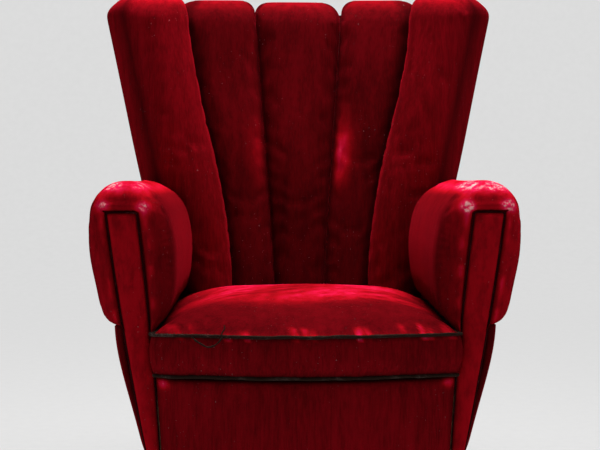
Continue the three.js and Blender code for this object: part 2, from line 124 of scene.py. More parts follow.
def spline(points, count, closed=False):
    """A smooth curve through the points: each span is the cubic whose end slopes join the points on either side."""
    p = np.asarray(points, float)
    p = np.vstack([p[-1], p, p[:2]]) if closed else np.vstack([2 * p[0] - p[1], p, 2 * p[-1] - p[-2]])
    t = np.linspace(0, len(p) - 3 - 1e-9, count)
    i = t.astype(int)
    f = (t - i)[:, None]
    a, b, c, d = p[i], p[i + 1], p[i + 2], p[i + 3]
    return 0.5 * (2 * b + (c - a) * f + (2 * a - 5 * b + 4 * c - d) * f**2 + (3 * b - a - 3 * c + d) * f**3)


def evenly(points, count, closed=False):
    """The same line with its points an equal length apart."""
    line = np.vstack([points, points[:1]]) if closed else np.asarray(points)
    along = np.concatenate([[0], np.cumsum(np.linalg.norm(np.diff(line, axis=0), axis=1))])
    wanted = np.linspace(0, along[-1], count, endpoint=not closed)
    return np.stack([np.interp(wanted, along, line[:, k]) for k in range(line.shape[1])], axis=1)


def lumps(points, wavelength, seed):
    """A gentle unevenness between about -1 and 1: the sum of eight plane waves in seeded directions."""
    rng = np.random.default_rng(seed)
    direction = rng.normal(size=(8, 3))
    direction *= 2 * np.pi / wavelength / np.linalg.norm(direction, axis=1)[:, None]
    return np.sin(points @ direction.T + rng.uniform(0, 6.28, 8)).sum(axis=-1) / 3.2


# ---- The chair's own lines ----
def side_half_width(z, depth):
    """Half the width over the outside covers. It swells upwards in an S and narrows to the back."""
    narrowing = mix(0.07, TOE_IN, smooth((z - 0.12) / 0.29))
    return 0.286 + 0.065 * smooth((z - 0.08) / 0.34) - depth * narrowing


def facing_middle(z):
    return 0.281 + 0.123 * (z - 0.12)


def facing_half(z):
    return 0.028 - 0.019 * ((FACING_TOP - z) / 0.504) ** 2


def inner_seam(z):
    return 0.056 + 0.0715 * (z - 0.43)


def wing_seam(z):
    return 0.172 + 0.105 * smooth((z - 0.4) / 0.64)


def wing_edge(z):
    return 0.328 + 0.2137 * (z - 0.653)


def back_forward(x, z):
    """How far the back curves forwards: a shallow barrel, then a bend into the wings. It grows upwards."""
    g = wing_seam(z)
    t = (np.abs(x) - g + BEND / 2) / BEND
    turned = np.where(t <= 0, 0, np.where(t < 1, t**3 - t**4 / 2, t - 0.5))
    return (0.5 + 0.5 * smooth((z - 0.25) / 0.5)) * (BARREL * x * x / (2 * g) + WING_TURN * BEND * turned)


def back_point(x, n, z):
    """The point n in front of the back plane, square to it, at x along it and at the height z."""
    slope = (back_forward(x + 0.0005, z) - back_forward(x - 0.0005, z)) / 0.001
    size = np.sqrt(1 + slope**2)
    plane = FRONT + BACK_PLANE + (z - BACK_PLANE_Z) * RAKE - back_forward(x, z)
    return xyz(x - n * slope / size, plane - n / size, z)


def back_half_width(z):
    low_down = side_half_width(z, 0.545)
    return np.where(z < 0.41, low_down, mix(side_half_width(0.41, 0.545), 0.340, smooth((z - 0.41) / 0.243)))


def bow(x):
    """How far the front of the seat stands out: a parabola across the chair."""
    return FRONT_BOW * (1 - (x / FRONT_HALF_WIDTH) ** 2)


# ---- Meshes ----
def put(name, data):
    """A new object in the scene, at the origin."""
    made = bpy.data.objects.new(name, data)
    bpy.context.scene.collection.objects.link(made)
    return made


def grid(cols, rows):
    """Two coordinates from -1 to 1, across and up a grid."""
    return np.meshgrid(np.linspace(-1, 1, cols), np.linspace(-1, 1, rows))


def unit(vectors):
    return vectors / np.linalg.norm(vectors, axis=1)[:, None]


def build(name, points, faces, masks=None, uv=None):
    """Puts points and faces of three or four corners into a mesh whose faces all point outwards."""
    corners = [np.roll(f, 1, axis=1) for f in faces if len(f)]
    volume = sum(
        np.einsum("ij,ij->", points[f[:, 0]], np.cross(points[f[:, k]], points[f[:, k + 1]]))
        for f in corners
        for k in range(1, f.shape[1] - 1)
    )
    if volume < 0:
        corners = [f[:, ::-1] for f in corners]
        uv = [u[:, ::-1] for u in uv] if uv else None
    mesh = bpy.data.meshes.new(name)
    mesh.from_pydata(points.tolist(), [], [face for f in corners for face in f.tolist()])
    mesh.polygons.foreach_set("use_smooth", np.ones(len(mesh.polygons), bool))
    for mask, value in (masks or {}).items():
        mesh.attributes.new(mask, "FLOAT", "POINT").data.foreach_set("value", np.asarray(value, np.float32))
    if uv:
        flat = np.concatenate([np.asarray(u, np.float32).reshape(-1, 2) for u in uv])
        mesh.uv_layers.new(name="along").data.foreach_set("uv", flat.ravel())
    mesh.validate()
    return put(name, mesh)


def quads(index, round_cols=False, round_rows=False):
    """Faces between neighbouring rows and columns of vertex numbers, which close on themselves where asked."""
    if round_cols:
        index = np.hstack([index, index[:, :1]])
    if round_rows:
        index = np.vstack([index, index[:1]])
    return np.stack([index[:-1, :-1], index[:-1, 1:], index[1:, 1:], index[1:, :-1]], axis=-1).reshape(-1, 4)


def fan(centre, first, second):
    """Triangles between one vertex and pairs of vertices round a ring."""
    return np.stack([np.full(len(first), centre), first, second], axis=-1)


def numbered(rows, cols, start=0):
    return start + np.arange(rows * cols).reshape(rows, cols)


def loft(name, rings, **masks):
    """A closed surface through rings of points. Each end is closed by a fan to the middle of its ring."""
    rows, cols = rings.shape[:2]
    points = np.vstack([rings[0].mean(0), rings.reshape(-1, 3), rings[-1].mean(0)])
    index = numbered(rows, cols, 1)
    after = np.roll(index, -1, axis=1)
    ends = [fan(0, after[0], index[0]), fan(rows * cols + 1, index[-1], after[-1])]
    values = {}
    for mask, value in masks.items():
        value = np.broadcast_to(value, (rows, cols)).astype(float)
        values[mask] = np.concatenate([[value[0].mean()], value.ravel(), [value[-1].mean()]])
    return build(name, points, [quads(index, True), *ends], values)


def slab(name, outer, inner, roundness=14, **masks):
    """A thin closed pad between two grids. Its edges are drawn together, as a rounded square, to the grids' middle."""
    rows, cols = outer.shape[:2]
    a, b = grid(cols, rows)
    apart = np.sqrt(np.clip(1 - np.maximum(np.abs(a), np.abs(b)) ** roundness, 0, 1))[..., None]
    middle = (outer + inner) / 2
    top, under = middle + (outer - middle) * apart, middle + (inner - middle) * apart
    points = np.vstack([top.reshape(-1, 3), under[1:-1, 1:-1].reshape(-1, 3)])
    index = numbered(rows, cols)
    below = index.copy()
    below[1:-1, 1:-1] = numbered(rows - 2, cols - 2, rows * cols)
    values = {k: np.concatenate([v.ravel(), v[1:-1, 1:-1].ravel()]) for k, v in masks.items()}
    return build(name, points, [quads(index), quads(below)[:, ::-1]], values)


def tube(name, path, radius, sides=12, up=(0, 0, 1), closed=False):
    """A round cord carried along a path. Its sections are turned by the path's direction and one fixed upward line."""
    ahead = np.roll(path, -1, axis=0) - np.roll(path, 1, axis=0) if closed else np.gradient(path, axis=0)
    side = unit(np.cross(unit(ahead), np.array(up, float)))
    over = np.cross(side, unit(ahead))
    angle = np.linspace(0, 2 * np.pi, sides, endpoint=False)[None, :, None]
    radius = np.broadcast_to(radius, len(path))[:, None, None]
    rings = path[:, None] + radius * (side[:, None] * np.cos(angle) + over[:, None] * np.sin(angle))
    rows, cols = rings.shape[:2]
    index = numbered(rows, cols)
    after = np.roll(index, -1, axis=1)
    step = np.linalg.norm(np.roll(path, -1, axis=0) - path, axis=1)
    along = np.concatenate([[0], np.cumsum(step)])[: rows + 1] / (2 * np.pi * float(radius.mean()))
    spans = rows if closed else rows - 1
    u, v = np.meshgrid(along[:spans], np.arange(cols) / cols, indexing="ij")
    du, dv = np.meshgrid(along[1 : spans + 1], (np.arange(cols) + 1) / cols, indexing="ij")
    corner = np.stack([np.stack(c, -1) for c in ((u, v), (u, dv), (du, dv), (du, v))], axis=2).reshape(-1, 4, 2)
    uv, faces, points = [np.roll(corner, 1, axis=1)], [quads(index, True, closed)], rings.reshape(-1, 3)
    if not closed:
        points = np.vstack([points, path[0], path[-1]])
        faces += [fan(rows * cols, after[0], index[0]), fan(rows * cols + 1, index[-1], after[-1])]
        uv += [np.zeros((cols, 3, 2))] * 2
    return build(name, points, faces, uv=uv)


def finish_piece(piece, material, body, nodes=()):
    """Gives a piece its material, its body and the frame's nodes that it stands for."""
    piece.data.materials.append(material)
    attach(piece, body)
    if nodes:
        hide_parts(*nodes)
    return piece


def plump(piece, most):
    """Blows the cover out against its stuffing with a cloth simulation, by no more than the given distance.

    The vertices marked as held stay where they are, and the cloth is a little larger than its seams, so that it
    settles in shallow folds along them.
    """
    mesh = piece.data
    mark = mesh.attributes["held"]
    held = np.empty(len(mesh.vertices), np.float32)
    mark.data.foreach_get("value", held)
    mesh.attributes.remove(mark)
    scene = bpy.context.scene
    group = piece.vertex_groups.new(name="held")
    group.add(np.flatnonzero(held > 0.5).tolist(), 1.0, "REPLACE")
    before = np.empty(3 * len(held), np.float32)
    mesh.vertices.foreach_get("co", before)
    modifier = piece.modifiers.new("stuffing", "CLOTH")
    cloth = modifier.settings
    cloth.quality, cloth.mass, cloth.air_damping = 4, 0.3, 2.0
    cloth.tension_stiffness = cloth.compression_stiffness = 12.0
    cloth.bending_stiffness, cloth.shrink_min, cloth.shrink_max = 0.8, -0.008, -0.008
    cloth.use_pressure, cloth.uniform_pressure_force = True, 4.0
    cloth.effector_weights.gravity = 0.0
    cloth.vertex_group_mass = group.name
    modifier.collision_settings.use_collision = False
    modifier.point_cache.frame_start, modifier.point_cache.frame_end = 1, 20
    for moment in range(1, 21):
        scene.frame_set(moment)
    settled = piece.evaluated_get(bpy.context.evaluated_depsgraph_get()).to_mesh()
    after = np.empty(3 * len(held), np.float32)
    settled.vertices.foreach_get("co", after)
    scene.frame_set(1)
    move = (after - before).reshape(-1, 3)
    if not np.isfinite(move).all():
        raise RuntimeError(f"the cloth of {piece.name} ran away")
    length = np.linalg.norm(move, axis=1, keepdims=True)
    move *= most * np.tanh(length / most) / np.maximum(length, 1e-9)
    piece.modifiers.remove(modifier)
    piece.vertex_groups.remove(group)
    mesh.vertices.foreach_set("co", before + move.ravel())
    mesh.update()


def sided(points, sign):
    """The points of a piece drawn on the right, or their mirror image for the left."""
    return points * np.array([sign, 1.0, 1.0])


SIDES = (("left", -1.0), ("right", 1.0))


# ---- Shader helpers ----
class Shader:
    """A short way to add nodes to a tree: each call returns the new node's outputs, ready to feed the next."""

    def __init__(self, tree):
        self.tree = tree

    def add(self, kind, inputs=None, **settings):
        node = self.tree.nodes.new("ShaderNode" + kind)
        for key, value in settings.items():
            setattr(node, key, value)
        for key, value in (inputs or {}).items():
            self.give(node.inputs[key], value)
        return node.outputs

    def give(self, socket, value):
        if isinstance(value, bpy.types.NodeSocket):
            self.tree.links.new(value, socket)
        else:
            socket.default_value = value

    def feed(self, shader, **sockets):
        for key, value in sockets.items():
            self.give(shader.inputs[key.replace("_", " ")], value)

    def use(self, group, **inputs):
        return self.add("Group", inputs, node_tree=group)

    def maths(self, operation, a, b=0.0, clamp=False):
        return self.add("Math", {0: a, 1: b}, operation=operation, use_clamp=clamp)[0]

    def times(self, a, b, clamp=False):
        return self.maths("MULTIPLY", a, b, clamp)

    def blend(self, factor, a, b):
        """Mixes two colours. A colour given as numbers has no alpha."""
        a, b = (c if isinstance(c, bpy.types.NodeSocket) else (*c, 1) for c in (a, b))
        return self.add("Mix", {0: factor, 6: a, 7: b}, data_type="RGBA")[2]

    def between(self, value, low_end, high_end, to_low=0.0, to_high=1.0):
        ends = {"Value": value, "From Min": low_end, "From Max": high_end, "To Min": to_low, "To Max": to_high}
        return self.add("MapRange", ends, interpolation_type="SMOOTHSTEP")[0]

    def noise(self, vector, scale, detail=2.0, stretch=(1, 1, 1), roughness=0.5):
        placed = self.add("Mapping", {"Vector": vector, "Scale": stretch})[0]
        fields = {"Vector": placed, "Scale": scale, "Detail": detail, "Roughness": roughness}
        return self.add("TexNoise", fields)[0]

    def object(self):
        return self.add("TexCoord")[3]

    def mask(self, name):
        return self.add("Attribute", attribute_name=name)[2]

    def bump(self, height, strength, distance):
        return self.add("Bump", {"Height": height, "Strength": strength, "Distance": distance})[0]


def group(name, inputs, outputs, fill):
    """A node group with named inputs and outputs, made once. fill(shader, given) returns its outputs."""
    if name in bpy.data.node_groups:
        return bpy.data.node_groups[name]
    tree = bpy.data.node_groups.new(name, "ShaderNodeTree")
    for label, (kind, default) in inputs.items():
        socket = tree.interface.new_socket(label, in_out="INPUT", socket_type="NodeSocket" + kind)
        if default is not None:
            socket.default_value = default
    for label, kind in outputs.items():
        tree.interface.new_socket(label, in_out="OUTPUT", socket_type="NodeSocket" + kind)
    given, out = tree.nodes.new("NodeGroupInput"), tree.nodes.new("NodeGroupOutput")
    for label, value in fill(Shader(tree), given.outputs).items():
        tree.links.new(value, out.inputs[label])
    return tree


def pile_group():
    """Cut pile: brushed streaks, broad patches where the pile leans, its fine grain, and lint caught in it."""

    def fill(s, given):
        place = given["Place"]
        streaks = s.noise(place, 60.0, 4.0, (1, 1, 0.10), 0.62)
        patches = s.noise(place, 6.5, 3.0, (1, 1, 0.6), 0.55)
        grain = s.noise(place, 1400.0, 1.0)
        tufts = s.noise(place, 170.0, 2.0)
        brushed = s.noise(place, 300.0, 2.0, (1, 1, 0.10))
        lean = s.maths("ADD", s.times(streaks, 0.40), s.times(patches, 0.30))
        lean = s.maths("ADD", lean, s.times(brushed, 0.30))
        lint = s.between(s.noise(place, 420.0, 1.0, (1, 1, 0.7)), 0.76, 0.80)
        lint = s.times(lint, s.between(s.noise(place, 9.0, 1.0), 0.45, 0.62))
        height = s.maths("ADD", s.times(grain, 0.6), s.times(tufts, 0.4))
        return {"Lean": s.between(lean, 0.34, 0.66), "Lint": lint, "Height": height}

    inputs = {"Place": ("Vector", None)}
    return group("velvet pile", inputs, {"Lean": "Float", "Lint": "Float", "Height": "Float"}, fill)


def weave_group():
    """Plain weave: two sets of threads at right angles, each passing over and under the other."""

    def fill(s, given):
        wave = {"Scale": given["Scale"], "Distortion": 1.2, "Detail": 1.0, "Detail Scale": 2.0}
        warp = s.add("TexWave", {"Vector": given["Place"], **wave}, bands_direction="X")[1]
        weft = s.add("TexWave", {"Vector": given["Place"], **wave}, bands_direction="Y")[1]
        threads = s.maths("MAXIMUM", warp, weft)
        uneven = s.noise(given["Place"], 60.0, 3.0)
        return {"Threads": threads, "Uneven": uneven}

    inputs = {"Place": ("Vector", None), "Scale": ("Float", 200.0)}
    return group("plain weave", inputs, {"Threads": "Float", "Uneven": "Float"}, fill)


def grain_group():
    """Wood grain: long wavering rings, with fine pores drawn out along them."""

    def fill(s, given):
        rings = s.add("TexWave", {"Vector": given["Place"], "Scale": 22.0, "Distortion": 5.0, "Detail": 2.0})[1]
        broad = s.noise(given["Place"], 14.0, 4.0)
        pores = s.noise(given["Place"], 420.0, 2.0)
        figure = s.maths("ADD", s.times(rings, 0.45), s.times(broad, 0.55))
        return {"Figure": figure, "Pores": pores}

    return group("wood grain", {"Place": ("Vector", None)}, {"Figure": "Float", "Pores": "Float"}, fill)


def new_material(name):
    """A material with a lone principled shader, and the helper that feeds it."""
    material = bpy.data.materials.get(name)
    if material:
        return material, None, None
    material = bpy.data.materials.new(name)
    material.use_nodes = True
    s = Shader(material.node_tree)
    return material, s, material.node_tree.nodes["Principled BSDF"]


# The half-bleached red, for rubbed pile and also as painted highlight on lit fronts and strips.
VELVET_HALF_WORN_AND_LIT = (0.43, 0.0035, 0.0100)
VELVET_PAINTED_SHADE = (0.012, 0.0012, 0.0016)
LINT = (0.62, 0.40, 0.40)
RUST = (0.16, 0.085, 0.045)


def velvet():
    """Deep red cut velvet. Masks on a piece change it: one bleaches it, for rubbed and threadbare pile and as painted
    highlight on lit tops, fronts and ridges, and the mask "seam" darkens it, as painted shade in grooves, crevices,
    inner sides and lower parts.
    """
    material, s, shader = new_material("red velvet")
    if not s:
        return material
    look = bpy.context.scene.armchair_cloth
    place = s.object()
    pile = s.use(pile_group(), Place=place)
    colour = s.blend(pile["Lean"], look.velvet_shade, look.velvet)
    wear, seam = s.mask("wear"), s.mask("seam")
    patchy = s.between(s.noise(place, 55.0, 4.0, (1, 1, 0.5), 0.65), 0.30, 0.62, 0.55, 1.0)
    worn_and_lit = s.times(wear, patchy, True)
    # Bleaching towards paler reds: rubbed pile, and painted highlight where the mask lifts lit tops and fronts.
    colour = s.blend(s.between(worn_and_lit, 0.0, 0.4), colour, VELVET_HALF_WORN_AND_LIT)
    colour = s.blend(s.between(worn_and_lit, 0.25, 1.0), colour, look.velvet_worn_and_lit)
    bald = s.times(s.between(worn_and_lit, 0.60, 0.95), s.between(s.noise(place, 130.0, 3.0), 0.42, 0.62))
    colour = s.blend(bald, colour, look.velvet_bald)
    # Painted shade: the seam mask darkens the pile towards a near-black red in grooves, crevices and lower parts where
    # shade falls.
    colour = s.blend(s.times(seam, 0.75, True), colour, VELVET_PAINTED_SHADE)
    colour = s.blend(s.times(pile["Lint"], 0.55, True), colour, LINT)
    rough = s.between(pile["Lean"], 0.0, 1.0, 0.92, 0.74)
    normal = s.bump(pile["Height"], 0.55, 0.0012)
    s.feed(shader, Base_Color=colour, Roughness=rough, Normal=normal, Sheen_Weight=0.24, Sheen_Roughness=0.32)
    s.feed(shader, Sheen_Tint=(1.0, 0.015, 0.038, 1), Specular_IOR_Level=0.0)
    return material


def welt():
    """Dark brown covered cord round the cushion."""
    return cord_material("brown welt", bpy.context.scene.armchair_cloth.welt)


def cord_material(name, colour):
    """Covered cord: fine diagonal ribs along it, rubbed paler and fraying in places."""
    material, s, shader = new_material(name)
    if not s:
        return material
    place = s.object()
    along = s.add("Mapping", {"Vector": s.add("UVMap", uv_map="along")[0], "Rotation": (0, 0, 0.7)})[0]
    ribs = s.add("TexWave", {"Vector": along, "Scale": 3.2, "Distortion": 0.6}, bands_direction="X")[1]
    fibres = s.noise(place, 520.0, 3.0)
    rubbed = s.between(s.noise(place, 38.0, 3.0), 0.52, 0.70)
    base = s.blend(s.times(ribs, 0.5), colour, [2.2 * c for c in colour])
    colour = s.blend(s.times(rubbed, s.between(fibres, 0.4, 0.65)), base, [0.03 + 4 * c for c in colour])
    height = s.maths("ADD", s.times(ribs, 0.6), s.times(fibres, 0.5))
    normal = s.bump(height, 0.8, 0.0010)
    s.feed(shader, Base_Color=colour, Roughness=s.between(fibres, 0.3, 0.7, 0.7, 0.95), Normal=normal)
    s.feed(shader, Sheen_Weight=0.05, Sheen_Roughness=0.5, Sheen_Tint=(0.6, 0.35, 0.3, 1), Specular_IOR_Level=0.03)
    return material


def woven(name, light, dark, scale, bump):
    """A bare cloth in plain weave, such as jute, hessian, calico or cambric."""
    material, s, shader = new_material(name)
    if not s:
        return material
    cloth = s.use(weave_group(), Place=s.object(), Scale=scale)
    colour = s.blend(cloth["Threads"], dark, light)
    colour = s.blend(s.between(cloth["Uneven"], 0.35, 0.7, 0.0, 0.45), colour, dark)
    normal = s.bump(cloth["Threads"], 0.7, bump)
    s.feed(shader, Base_Color=colour, Roughness=s.between(cloth["Uneven"], 0.3, 0.7, 0.8, 0.98), Normal=normal)
    s.feed(shader, Sheen_Weight=0.15, Specular_IOR_Level=0.2)
    return material


def timber(name, light, dark, roughness, coat, direction):
    """Wood with its grain drawn out along one direction."""
    material, s, shader = new_material(name)
    if not s:
        return material
    stretched = s.add("Mapping", {"Vector": s.object(), "Scale": direction})[0]
    wood = s.use(grain_group(), Place=stretched)
    colour = s.blend(s.between(wood["Figure"], 0.3, 0.75), light, dark)
    colour = s.blend(s.between(wood["Pores"], 0.62, 0.74, 0.0, 0.55), colour, [0.45 * c for c in dark])
    normal = s.bump(wood["Pores"], 0.35, 0.0004)
    rough = s.between(wood["Figure"], 0.2, 0.8, roughness - 0.06, roughness + 0.1)
    s.feed(shader, Base_Color=colour, Roughness=rough, Normal=normal, Coat_Weight=coat, Coat_Roughness=0.35)
    return material


def steel(name, tint, roughness):
    """Dull drawn steel with faint brown bloom."""
    material, s, shader = new_material(name)
    if not s:
        return material
    place = s.object()
    bloom = s.between(s.noise(place, 45.0, 4.0), 0.5, 0.72)
    brushed = s.noise(place, 300.0, 2.0, (1, 1, 0.2))
    colour = s.blend(bloom, tint, RUST)
    rough = s.between(brushed, 0.3, 0.7, roughness - 0.08, roughness + 0.08)
    rough = s.maths("ADD", rough, s.times(bloom, 0.3))
    metallic = s.between(bloom, 0.0, 1.0, 1.0, 0.35)
    s.feed(shader, Base_Color=colour, Metallic=metallic, Roughness=rough, Normal=s.bump(brushed, 0.2, 0.0003))
    return material


# ---- Settings ----
class ArmchairSizes(bpy.types.PropertyGroup):
    """Sizes of the covers that do not move the frame."""

    channel: FloatProperty(name="Channel", description="Thickness of the middle channels", default=0.086, unit="LENGTH")
    wing: FloatProperty(name="Wing", description="Thickness of the wings", default=0.122, unit="LENGTH")
    crown: FloatProperty(name="Crown", description="Rise of the seat cushion's middle", default=0.054, unit="LENGTH")
    welt: FloatProperty(name="Welt", description="Radius of the cushion's piping", default=0.0032, unit="LENGTH")
    foot: FloatProperty(name="Foot", description="Radius of a foot at its top", default=0.025, unit="LENGTH")


class ArmchairCloth(bpy.types.PropertyGroup):
    """Colours of the cloth and the wood."""

    velvet: FloatVectorProperty(
        name="Velvet", description="Pile leaning to the light", subtype="COLOR", default=(0.190, 0.0026, 0.0062)
    )
    velvet_shade: FloatVectorProperty(
        name="Velvet shade", description="Pile leaning away", subtype="COLOR", default=(0.080, 0.0015, 0.0030)
    )
    # Also the colour of the painted highlight on lit tops and fronts.
    velvet_worn_and_lit: FloatVectorProperty(
        name="Worn velvet", description="Where the pile is brushed up", subtype="COLOR", default=(0.78, 0.011, 0.085)
    )
    velvet_bald: FloatVectorProperty(
        name="Bald velvet", description="Where the pile is rubbed off", subtype="COLOR", default=(0.82, 0.36, 0.36)
    )
    welt: FloatVectorProperty(
        name="Welt", description="Piping round the cushion", subtype="COLOR", default=(0.014, 0.007, 0.005)
    )


class ArmchairStage(bpy.types.PropertyGroup):
    """Lights and the camera's distance."""

    overhead: FloatProperty(name="Overhead", description="Power of the light above", default=30.0, unit="POWER")
    frontal: FloatProperty(name="Frontal", description="Power of the light in front", default=4.0, unit="POWER")
    sides: FloatProperty(name="Sides", description="Power of each light beside the chair", default=7.0, unit="POWER")
    distance: FloatProperty(
        name="Distance", description="Camera to the arm fronts", default=3.4, min=1.0, unit="LENGTH"
    )


# ---- Back ----
def rounding(z, top, radius):
    """How far an edge is drawn in near the top, by a quarter circle of the given radius."""
    rise = np.clip(z - (top - radius), 0, radius)
    return radius - np.sqrt(radius**2 - rise**2)


def channel_rings(sizes, seam, edge, thick, top, wing, seed):
    """One upright channel between two seams, given as functions of height.

    Each ring is a rounded square, flat behind and full in front. Rings narrow to a quarter circle at the top, where the
    pad also reaches back over the crest rail. A wing overhangs its neighbour in front, and above its lip it wraps round
    the outside of the frame.
    """
    angle = np.linspace(0, np.pi / 2, 18)
    foot = PAD_BOTTOM + 0.016 * (1 - np.cos(angle[::3]))
    body = np.linspace(PAD_BOTTOM + 0.018, top - 0.046, 76)
    dome = top - 0.045 + 0.045 * np.sin(angle)
    z = np.concatenate([foot, body, dome])[:, None]
    tuck = 0.016 - np.sqrt(0.016**2 - np.clip(0.016 - (z - PAD_BOTTOM), 0, 0.016) ** 2)

    turn = np.linspace(0, 2 * np.pi, 120, endpoint=False)[None, :]
    front = np.sin(turn) >= 0
    dome = smooth((z - top + 0.055) / 0.045)
    square = np.where(front, 2 / mix(2.6 if wing else 3.1, 2.0, dome), 2 / mix(10, 3, dome))
    across = (power(np.cos(turn), square) + 1) / 2
    depth = np.abs(np.sin(turn)) ** square

    left = seam(z) + GAP + rounding(z, top, 0.026) + tuck
    right = edge(z) - GAP - rounding(z, top, 0.045) - tuck
    x = mix(left, right, across)
    full = thick - rounding(z, top, 0.045) - tuck
    if wing:
        full = full * (1 + 0.06 * np.cos(np.pi * (across - 0.25)))
    over = smooth((z - CREST_TOP - 0.001) / 0.003)
    wrapped = smooth((across - 0.80) / 0.03) * smooth((z - LIP_BOTTOM) / 0.004) if wing else 0.0
    reach = np.maximum(over, wrapped)
    behind = (FRAME_BACK - 0.009 + rounding(z, top, 0.016)) * reach
    n = WAIST + np.where(front, full - WAIST, behind - WAIST) * depth
    spread = np.abs(2 * across - 1)
    if wing:
        x = x - 0.011 * smooth((n - sizes.channel + 0.004) / 0.010) * (1 - across) ** 2
    place = xyz(x, n, z)
    tug = bell((1 - spread) * (right - left) / 2, 0.018) * np.sin(z * 150 + 3 * lumps(place, 0.3, seed + 1))
    n = n + front * (0.0022 * depth * lumps(place, 0.22, seed) + 0.0009 * tug)
    rings = back_point(x, n, z)
    # Painted shade in the grooves: the pad darkens where it turns in towards a seam, more on its front than behind.
    seams = bell(n - 0.030, 0.030) * smooth((spread - 0.86) / 0.12) * np.where(front, 1.0, 0.4)
    held = (n < 0.030) | (spread > 0.985)
    return rings, place, across, seams, held


class ARMCHAIR_OT_back(bpy.types.Operator):
    """Five stuffed channels of the back: the centre, two beside it and two thick wings"""

    bl_idname = "armchair.back"
    bl_label = "Back channels"

    def execute(self, context):
        sizes = context.scene.armchair_sizes
        plans = (
            ("centre", lambda z: -inner_seam(z), inner_seam, sizes.channel, CENTRE_TOP, 11),
            ("inner", inner_seam, wing_seam, sizes.channel, INNER_TOP, 23),
            ("wing", wing_seam, wing_edge, sizes.wing, WING_TOP, 37),
        )
        for name, seam, edge, thick, top, seed in plans:
            for side, sign in (("", 1.0),) if name == "centre" else SIDES:
                wing = name == "wing"
                rings, place, across, seams, held = channel_rings(sizes, seam, edge, thick, top, wing, seed + int(sign))
                z, forward = rings[..., 2], place[..., 1]
                # Painted shade: darker towards the bottom, along each wing's inner edge, over the whole right wing, on
                # the middle channels, and in the inner channels' crevices beside the wings; the rubbed streak on the
                # inner channels is real rubbing and lifts it.
                low_down = smooth((0.80 - z) / 0.3)
                rub = 0.0
                if wing:
                    channel_painted_shade = 0.12 * low_down + 0.5 * bell(across, 0.06) + (0.12 if sign > 0 else 0.0)
                else:
                    channel_painted_shade = 0.55 + 0.22 * low_down
                if name == "inner":
                    channel_painted_shade = channel_painted_shade + 0.75 * smooth((across - 0.72) / 0.24) * (forward > 0.03)
                    off = place[..., 0] - inner_seam(z) - 0.018
                    rub = bell(z - 0.705, 0.068) * bell(off, np.where(off < 0, 0.010, 0.026)) * (forward > 0.05)
                    rub = rub * (0.62 if sign > 0 else 0.22)
                # Rubbed pile together with painted highlight on the top of each pad, over a faint even lift a little
                # stronger on the left.
                crest = smooth((z - top + 0.03) / 0.03) * 0.22
                wear = np.clip(crest + rub + (0.05 if sign > 0 else 0.07), 0, 1)
                dark = np.clip(seams + channel_painted_shade * (1 - 1.4 * rub), 0, 1)
                node = f"{side}_{name}_channel".strip("_")
                piece = loft(f"{node}_pad", sided(rings, sign), wear=wear, seam=dark, held=held)
                plump(piece, SOFT_GIVE)
                finish_piece(piece, velvet(), "chair", [node])
        return {"FINISHED"}


# ---- Arms ----
def arm_outline(count):
    """The roll seen from the front: from under its outer lobe, over the top, down to the seat and back beneath."""
    lobe = [(0.346, 0.414), (0.368, 0.416), (0.384, 0.430), (0.396, 0.482), (0.408, 0.550), (0.407, 0.622)]
    crown = [(0.391, 0.664), (0.348, 0.685), (0.300, 0.673), (0.264, 0.632), (0.248, 0.560), (0.248, 0.490)]
    leg = [(0.258, 0.432), (0.284, 0.398), (0.2845, 0.350), (0.290, 0.342)]
    return evenly(spline(lobe + crown + leg, 400), count, closed=True)


def wing_front(x, z, thick):
    """The depth at which the wing's face stands, at x and the height z."""
    return BACK_PLANE + (z - BACK_PLANE_Z) * RAKE - back_forward(x, z) - thick


